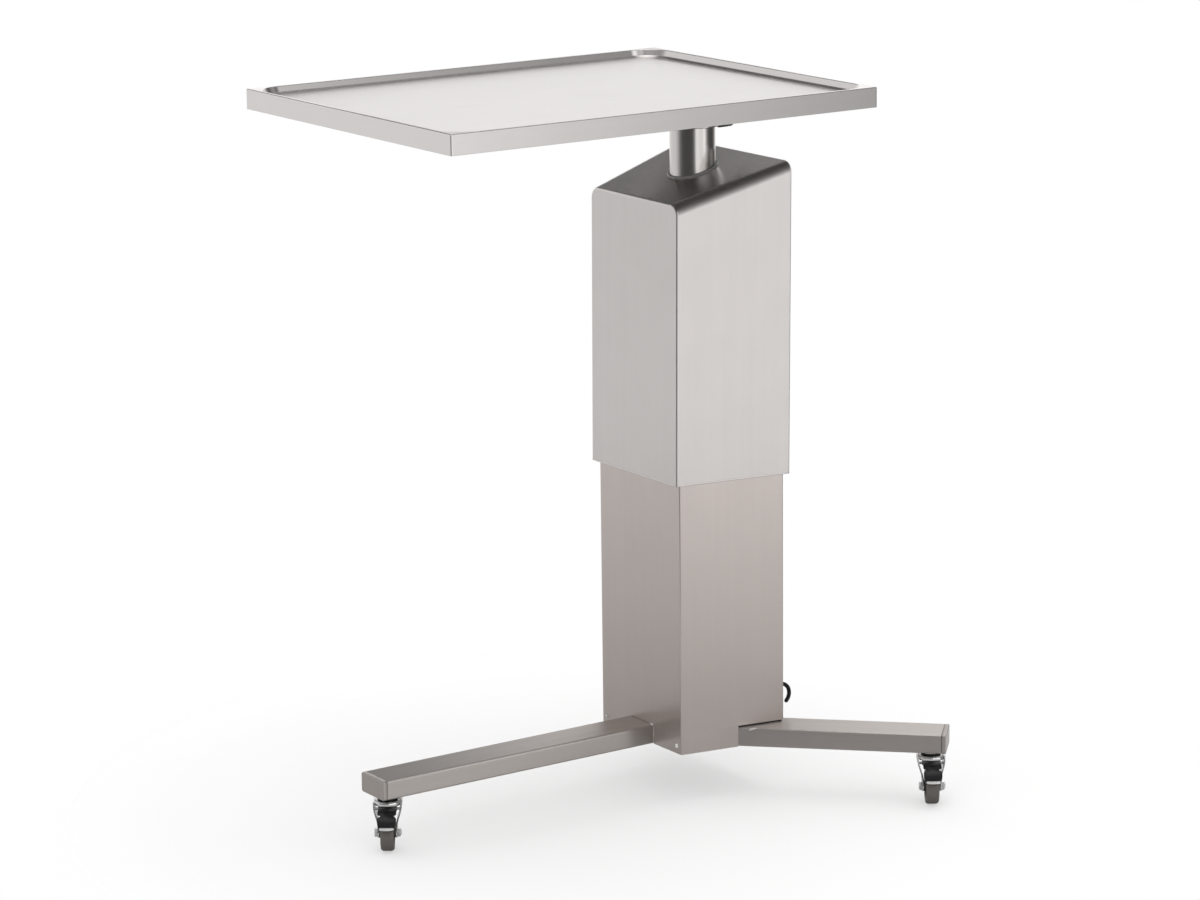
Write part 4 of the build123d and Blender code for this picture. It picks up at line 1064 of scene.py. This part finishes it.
def brake_pedal():
    """Brake pedal. The hood is a channel section carried round an arc over the wheel; its
    half width dips in a notch on each side and closes in towards its lower end. A hub takes
    the pin, and a flat arm joins the two."""
    upper_end, lower_end, side = 98.0, 19.0, 1.3
    a = radians(upper_end) + (radians(lower_end) - radians(upper_end)) * np.linspace(0, 1, 84)
    deg = np.degrees(a)
    notch = 4.4 * np.exp(-(((deg - 61.0) / 5.5) ** 4))
    closing = 3.2 * np.clip((40.0 - deg) / 21.0, 0, 1) ** 1.6
    half = pedal_half - notch - closing
    skirt = 4.5 * np.clip((53.0 - deg) / 6, 0, 1) * np.clip((deg - lower_end) / 6, 0, 1) + 0.01
    section = [(1.0, pedal_sheet - 1.0), (0.94, pedal_sheet - 0.25), (0.86, pedal_sheet),
               (0.0, pedal_sheet + 0.25), (-0.86, pedal_sheet), (-0.94, pedal_sheet - 0.25),
               (-1.0, pedal_sheet - 1.0), (-1.0, 0.0)]
    rows = [(y * half, rise + 0 * half) for y, rise in section]
    rows += [(-half, -skirt), (side - half, -skirt), (side - half, 0 * half),
             (half - side, 0 * half), (half - side, -skirt), (half, -skirt)]
    across = np.stack([r[0] for r in rows], 1)
    ring = pedal_inner + np.stack([r[1] for r in rows], 1)
    points = np.stack([pedal_centre_x + ring * np.cos(a)[:, None], across,
                       pedal_centre_z + ring * np.sin(a)[:, None]], -1)
    hood = solid(points, [[0.6, 1, 0.4, 0, 0.4, 1, 0.6, 0, 0.3, 0, 0, 0, 0, 0.3]])
    hub = spun(oblong(2.05, 3.7, -pedal_half, pedal_half), 0.4, 3, 36, True, 0.1)
    arm = plate_loops(np.array([5.4, 6.2, 6.2, 5.4]), pedal_half - np.array([1.0, 0.2, 0.2, 1.0]),
                      np.array([0.8, 1.4, 1.4, 0.8]), np.array([64.0, 63.3, 61.3, 60.8]),
                      15.6, 4, 0.1)
    return [hood, moved(hub, pin_place, ALONG_Y), solid(arm, [[1], [0.5], [0], [0]])]


def pedal_toe():
    """Foot ledge of the pedal: a half-round plate with eased edges, standing out of the hood."""
    angle = radians(24.0)
    toe_x = pedal_centre_x + (pedal_inner + pedal_sheet) * cos(angle)
    toe_z = pedal_centre_z + (pedal_inner + pedal_sheet) * sin(angle)
    b = np.linspace(-pi / 2, pi / 2, 25)
    outline = np.stack([6.0 * np.cos(b) ** 0.6, 11.0 * np.sin(b)], 1)
    outline = np.concatenate([outline, [(-2.4, 9.4), (-2.4, -9.4)]])
    shrink = np.array([0.86, 0.95, 1.0, 1.0, 0.94])[:, None, None]
    rise = np.array([1.4, 1.15, 0.6, -0.8, -1.3])[:, None, None]
    toe = np.concatenate([outline[None] * shrink, np.broadcast_to(rise, (5, 27, 1))], 2)
    return [solid(toe + np.array([toe_x, 0, toe_z]), [[0.3], [1], [0.6], [0], [0]])]


def pedal_pin():
    """Pin of the pedal, with riveted ends just inside the cheeks' outer faces."""
    pin = spun(oblong(0.5, 2.0, -19.0, 19.0), [0, 0.6, 0.6, 0], 4, 28)
    return [moved(pin, pin_place, ALONG_Y)]


# Placing the pieces on their bodies

write_piece("tray_pan_sheet", [tray_pan()], "tray", "tray_steel", tray_steel, "tray_pan")
write_piece("tray_socket_turned", tray_socket(), "tray", "post_steel", post_steel,
            "tray_socket")
write_piece("clamp_knob_fluted", clamp_knob(), "knob", "black_plastic", black_plastic,
            "clamp_knob")
write_piece("clamp_screw_threaded", clamp_screw(), "knob", "fastener_steel", fastener_steel,
            "clamp_screw")
write_piece("sleeve_sheet", sleeve(), "lift", "sleeve_steel", sleeve_steel, "sleeve")
write_piece("post_tube",
            [moved(spun(oblong(post_radius - 3.0, post_radius, post_low[2], post_high[2]),
                        0.6, 4, 128, True, 0.3), (post_x, 0, 0))],
            "lift", "post_steel", post_steel, "post")
write_piece("post_trim_ring", [post_ring()], "lift", "ring_grey", ring_grey, "post_ring")
write_piece("lower_shell_sheet", lower_shell(), "base", "shell_steel", shell_steel,
            "lower_shell")
# The near screws take the near-white zinc as a painted highlight; the far ones keep the plain
# fastener finish.
write_piece("near_button_screws", shell_screws(True), "base", "fastener_steel", zinc_painted_glint,
            "shell_screws")
write_piece("far_button_screws", shell_screws(False), "base", "fastener_steel", fastener_steel)
write_piece("cable_hook_bent", cable_hook(), "base", "black_plastic", black_plastic,
            "cable_hook")
for leg, (angle, reach, mitre) in leg_lines.items():
    write_piece(f"{leg}_tube", leg_tube(angle, reach, mitre), "base", "leg_steel", leg_steel,
                leg)
write_piece("leg_end_caps", [leg_cap(angle, reach) for angle, reach, _ in leg_lines.values()],
            "base", "leg_steel", leg_steel, "leg_caps")

# Welds where the front leg meets the narrow face, seen as two short beads, tack welds between
# the wide rear part of the shell and the rear legs, and ground plug welds on the legs' tops


def write_weld(name, finish, patch):
    """A weld on the base, whose look is its own."""
    write_piece(name, [patch], "base", "leg_steel", finish)


def plug_weld(x, y, heading):
    """Ground plug weld: a low lens, half as wide as it is long, in line with the heading."""
    half_length, half_breadth, height, foot = 8.5, 4.0, 0.7, -0.4
    a = full_turn(40)[None, :]
    t = np.array([1.0, 0.97, 0.85, 0.6, 0.3])[:, None]
    rise = height * np.sqrt(1 - t**2 * 0.98)
    t, rise = np.concatenate([[[1.0]], t]), np.concatenate([[[foot]], rise])
    points = np.stack([half_length * t * np.cos(a), half_breadth * t * np.sin(a),
                       rise + 0 * a], -1)
    return moved(solid(points, 0.2), (x, y, leg_top), about_z(heading))


face_x = shell_low[0]
for name, side in (("near", -1), ("far", 1)):
    y = side * (leg_half + 0.6)
    write_weld(f"{name}_leg_weld", weld_steel,
               bead((face_x - 0.2, y, leg_bottom + 1.5), (face_x - 0.2, y, leg_top - 2.0), 1.1))
y = -leg_half - 0.6
write_weld("near_leg_weld_top", ground_weld,
           bead((face_x - 0.4, y, leg_top - 0.6), (face_x - 0.4, y + 7.0, leg_top + 0.2), 1.5))
for name, side in (("near", -1), ("far", 1)):
    write_weld(f"{name}_shell_tack", ground_weld,
               bead((226.5, side * 123.6, leg_top + 1.4), (231.5, side * 124.4, leg_top + 1.4),
                    1.9))
    write_weld(f"{name}_plug_weld", ground_weld,
               plug_weld(178.0, side * 140.0, side * -12.0))

# Castors: where each swivel axis stands, and the heading of its wheel

castor_side = (rear_reach - castor_inset) * sin(radians(rear_angle))
castor_rear_x = junction_x + (rear_reach - castor_inset) * cos(radians(rear_angle))
castors = {"front": (junction_x - front_reach + castor_inset, 0.0, -124.0),
           "near": (castor_rear_x, -castor_side, -124.0),
           "far": (castor_rear_x, castor_side, 124.0)}
castor_pieces = [
    (castor_stem, "base", "castor_chrome", castor_chrome),
    (swivel_race, "{}_fork", "black_plastic", black_plastic),
    (castor_fork, "{}_fork", "castor_chrome", castor_chrome),
    (castor_axle, "{}_fork", "castor_chrome", castor_chrome),
    (pedal_pin, "{}_fork", "castor_chrome", castor_chrome),
    (wheel_hub, "{}_wheel", "wheel_plastic", wheel_plastic),
    (tyre, "{}_wheel", "tyre_grey", tyre_grey),
    (brake_pedal, "{}_pedal", "black_plastic", black_plastic),
]
for where, (x, y, heading) in castors.items():
    for shape, body, slot, finish in castor_pieces:
        node = f"{where}_{shape.__name__}"
        write_piece(f"{node}_made", headed(shape(), x, y, heading), body.format(where), slot,
                    finish, node)
    # The toe's light colour is a painted highlight.
    write_piece(f"{where}_pedal_toe", headed(pedal_toe(), x, y, heading), f"{where}_pedal",
                "castor_chrome", toe_painted_highlight)

# Inner parts keep their CAD shape and get a finish of their own

finishes = {
    inner_steel: ["cross_plate", "sleeve_carrier", "post_plug", "middle_tube", "fixed_tube",
                  "tray_rails"],
    black_oxide: ["base_plate"],
    fastener_steel: ["socket_bolts", "actuator_rod", "rod_nut", "column_bolts", "stem_nuts"],
    bush_plastic: ["post_bush", "thrust_washer", "glide_pads", "middle_bushes", "fixed_bush",
                   "actuator_gland"],
    actuator_paint: ["actuator_motor", "actuator_tube", "control_box"],
}
for finish, nodes in finishes.items():
    for node in nodes:
        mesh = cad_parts[node].data
        mesh.materials.clear()
        mesh.materials.append(finish)

# Camera at the photograph's angle

camera_data = bpy.data.cameras.new("camera")
camera_data.lens = 120.87
camera_data.sensor_width = 36.0
camera = new_object("camera", camera_data)
yaw, pitch, roll = radians(55.99066), radians(13.18421), radians(-0.68633)
forward = Vector((cos(pitch) * cos(yaw), cos(pitch) * sin(yaw), -sin(pitch)))
right = forward.cross(Vector((0, 0, 1))).normalized()
upward = right.cross(forward)
right, upward = (right * cos(roll) + upward * sin(roll), upward * cos(roll) - right * sin(roll))
turn = Matrix((right, upward, -forward)).transposed().to_4x4()
camera.matrix_world = Matrix.Translation((-3.335376, -4.935666, 1.946984)) @ turn
bpy.context.scene.camera = camera

# Studio: floor, world and a soft lamp


def stage_plane(name, half, material):
    """Flat square at the floor level, for the studio's floor."""
    mesh = bpy.data.meshes.new(name)
    mesh.from_pydata([(-half, -half, 0), (half, -half, 0), (half, half, 0), (-half, half, 0)],
                     [], [(0, 1, 2, 3)])
    mesh.materials.append(material)
    plane = new_object(name, mesh)


def floor_material():
    """Pale floor. The camera sees it white with the object's shadow at half strength, fading
    into the white backdrop further out. Steel sees a light grey sweep that fades into the
    room."""
    material, t = new_material("studio_floor")
    rays = t.add("ShaderNodeLightPath").outputs
    seen = t.add("ShaderNodeBsdfDiffuse", {0: (1.0, 1.0, 1.0, 1)})
    bounced = t.add("ShaderNodeBsdfDiffuse", {0: (0.55, 0.545, 0.54, 1)})
    clear = t.add("ShaderNodeBsdfTransparent")
    spot = t.add("ShaderNodeTexCoord").outputs["Object"]
    far = t.add("ShaderNodeVectorMath", {0: spot}, operation="LENGTH").outputs["Value"]
    fade = t.plus(t.times(t.share(far, 0.8, 2.6), rays["Is Glossy Ray"]),
                  t.times(t.share(far, 0.45, 0.95), rays["Is Camera Ray"]))
    least_fade = t.times(rays["Is Camera Ray"], 0.5)
    lit = t.add("ShaderNodeMixShader", {0: rays["Is Camera Ray"], 1: bounced.outputs[0],
                                        2: seen.outputs[0]})
    mixed = t.add("ShaderNodeMixShader", {0: t.math("MAXIMUM", fade, least_fade),
                                          1: lit.outputs[0], 2: clear.outputs[0]})
    t.add("ShaderNodeOutputMaterial", {0: mixed.outputs[0]})
    return material


def ramp_over(t, value, stops):
    """Colour ramp of greys over a share from 0 to 1."""
    ramp = t.add("ShaderNodeValToRGB", {0: value})
    elements = ramp.color_ramp.elements
    while len(elements) < len(stops):
        elements.new(0.5)
    for element, (place, level) in zip(elements, stops):
        element.position = place
        element.color = (level, level, level, 1)
    return ramp.outputs[0]


def make_world():
    """White to the camera. Steel sees a room whose grey at eye level, whose walls above it
    and the height where they begin all change with the direction: a bright backdrop behind
    the object with a tall part on its right, a bright tall panel to its right front, and a
    darker side towards the camera. The ceiling is bright and the lowest part is dark. Other
    surfaces get a plain level."""
    world = bpy.data.worlds.new("studio")
    bpy.context.scene.world = world
    world.use_nodes = True
    t = Tree(world.node_tree)
    rays = t.add("ShaderNodeLightPath").outputs
    direction = t.add("ShaderNodeTexCoord").outputs["Generated"]
    x, y, z = t.add("ShaderNodeSeparateXYZ", {0: direction}).outputs
    turn_share = t.plus(t.math("DIVIDE", t.math("ARCTAN2", y, x), 2 * pi), 0.5)
    eye_level = [(-180, 0.12), (-170, 0.08), (-122, 0.07), (-113, 0.15), (-107, 1.55),
                 (-98, 1.20), (-86, 1.00), (-72, 1.03), (-62, 1.62), (-50, 0.27), (-40, 0.08),
                 (-5, 0.07), (10, 0.30), (28, 1.10), (80, 1.10), (95, 0.95), (110, 0.87),
                 (135, 0.87), (150, 0.78), (162, 0.45), (172, 0.15), (180, 0.12)]
    wall_foot = [(-180, 0.32), (-114, 0.32), (-104, 0.50), (-80, 0.50), (-70, 0.66),
                 (-52, 0.66), (-43, 0.32), (22, 0.32), (30, 0.70), (53, 0.70), (60, 0.22),
                 (84, 0.20), (94, 0.32), (108, 0.34), (114, 0.46), (140, 0.46), (150, 0.32),
                 (180, 0.32)]
    wall_level = [(-180, 0.40), (-122, 0.40), (-104, 0.30), (-88, 0.30), (-76, 0.40),
                  (-59, 0.50), (-50, 0.10), (-40, 0.10), (-32, 0.45), (-14, 0.45),
                  (0, 0.14), (84, 0.10), (106, 0.10), (116, 0.48), (140, 0.48),
                  (152, 0.40), (180, 0.40)]
    low, foot, wall = (ramp_over(t, turn_share, [((angle + 180) / 360, level)
                                                 for angle, level in stops])
                       for stops in (eye_level, wall_foot, wall_level))
    low = t.mix(t.share(z, -0.50, -0.36), (0.10, 0.10, 0.10, 1), low)
    room = t.mix(t.share(t.math("SUBTRACT", z, foot), 0.0, 0.18), low, wall)
    room = t.mix(t.share(z, 0.88, 0.97), room, (2.0, 2.0, 2.0, 1))
    plain = t.mix(rays["Is Glossy Ray"], (0.9, 0.9, 0.9, 1), room)
    shown = t.math("MAXIMUM", rays["Is Camera Ray"], rays["Is Transmission Ray"])
    back = t.add("ShaderNodeBackground", {0: t.mix(shown, plain, (1, 1, 1, 1)), 1: 1.0})
    t.add("ShaderNodeOutputWorld", {0: back.outputs[0]})


stage_plane("studio_floor", 14.0, floor_material())
make_world()

# A square lamp straight above, whose face shines with a plain level of white. Steel gets its
# light from the world alone.

lamp_side, lamp_level = 2.0, 1.9
lamp_data = bpy.data.lights.new("overhead_lamp", "AREA")
lamp_data.shape = "RECTANGLE"
lamp_data.size = lamp_data.size_y = lamp_side
lamp_data.energy = lamp_level * lamp_side**2 * pi
lamp = new_object("overhead_lamp", lamp_data)
lamp.location = (0.15, -0.1, 3.1)
lamp.visible_glossy = False

bpy.context.scene.view_settings.view_transform = "Standard"
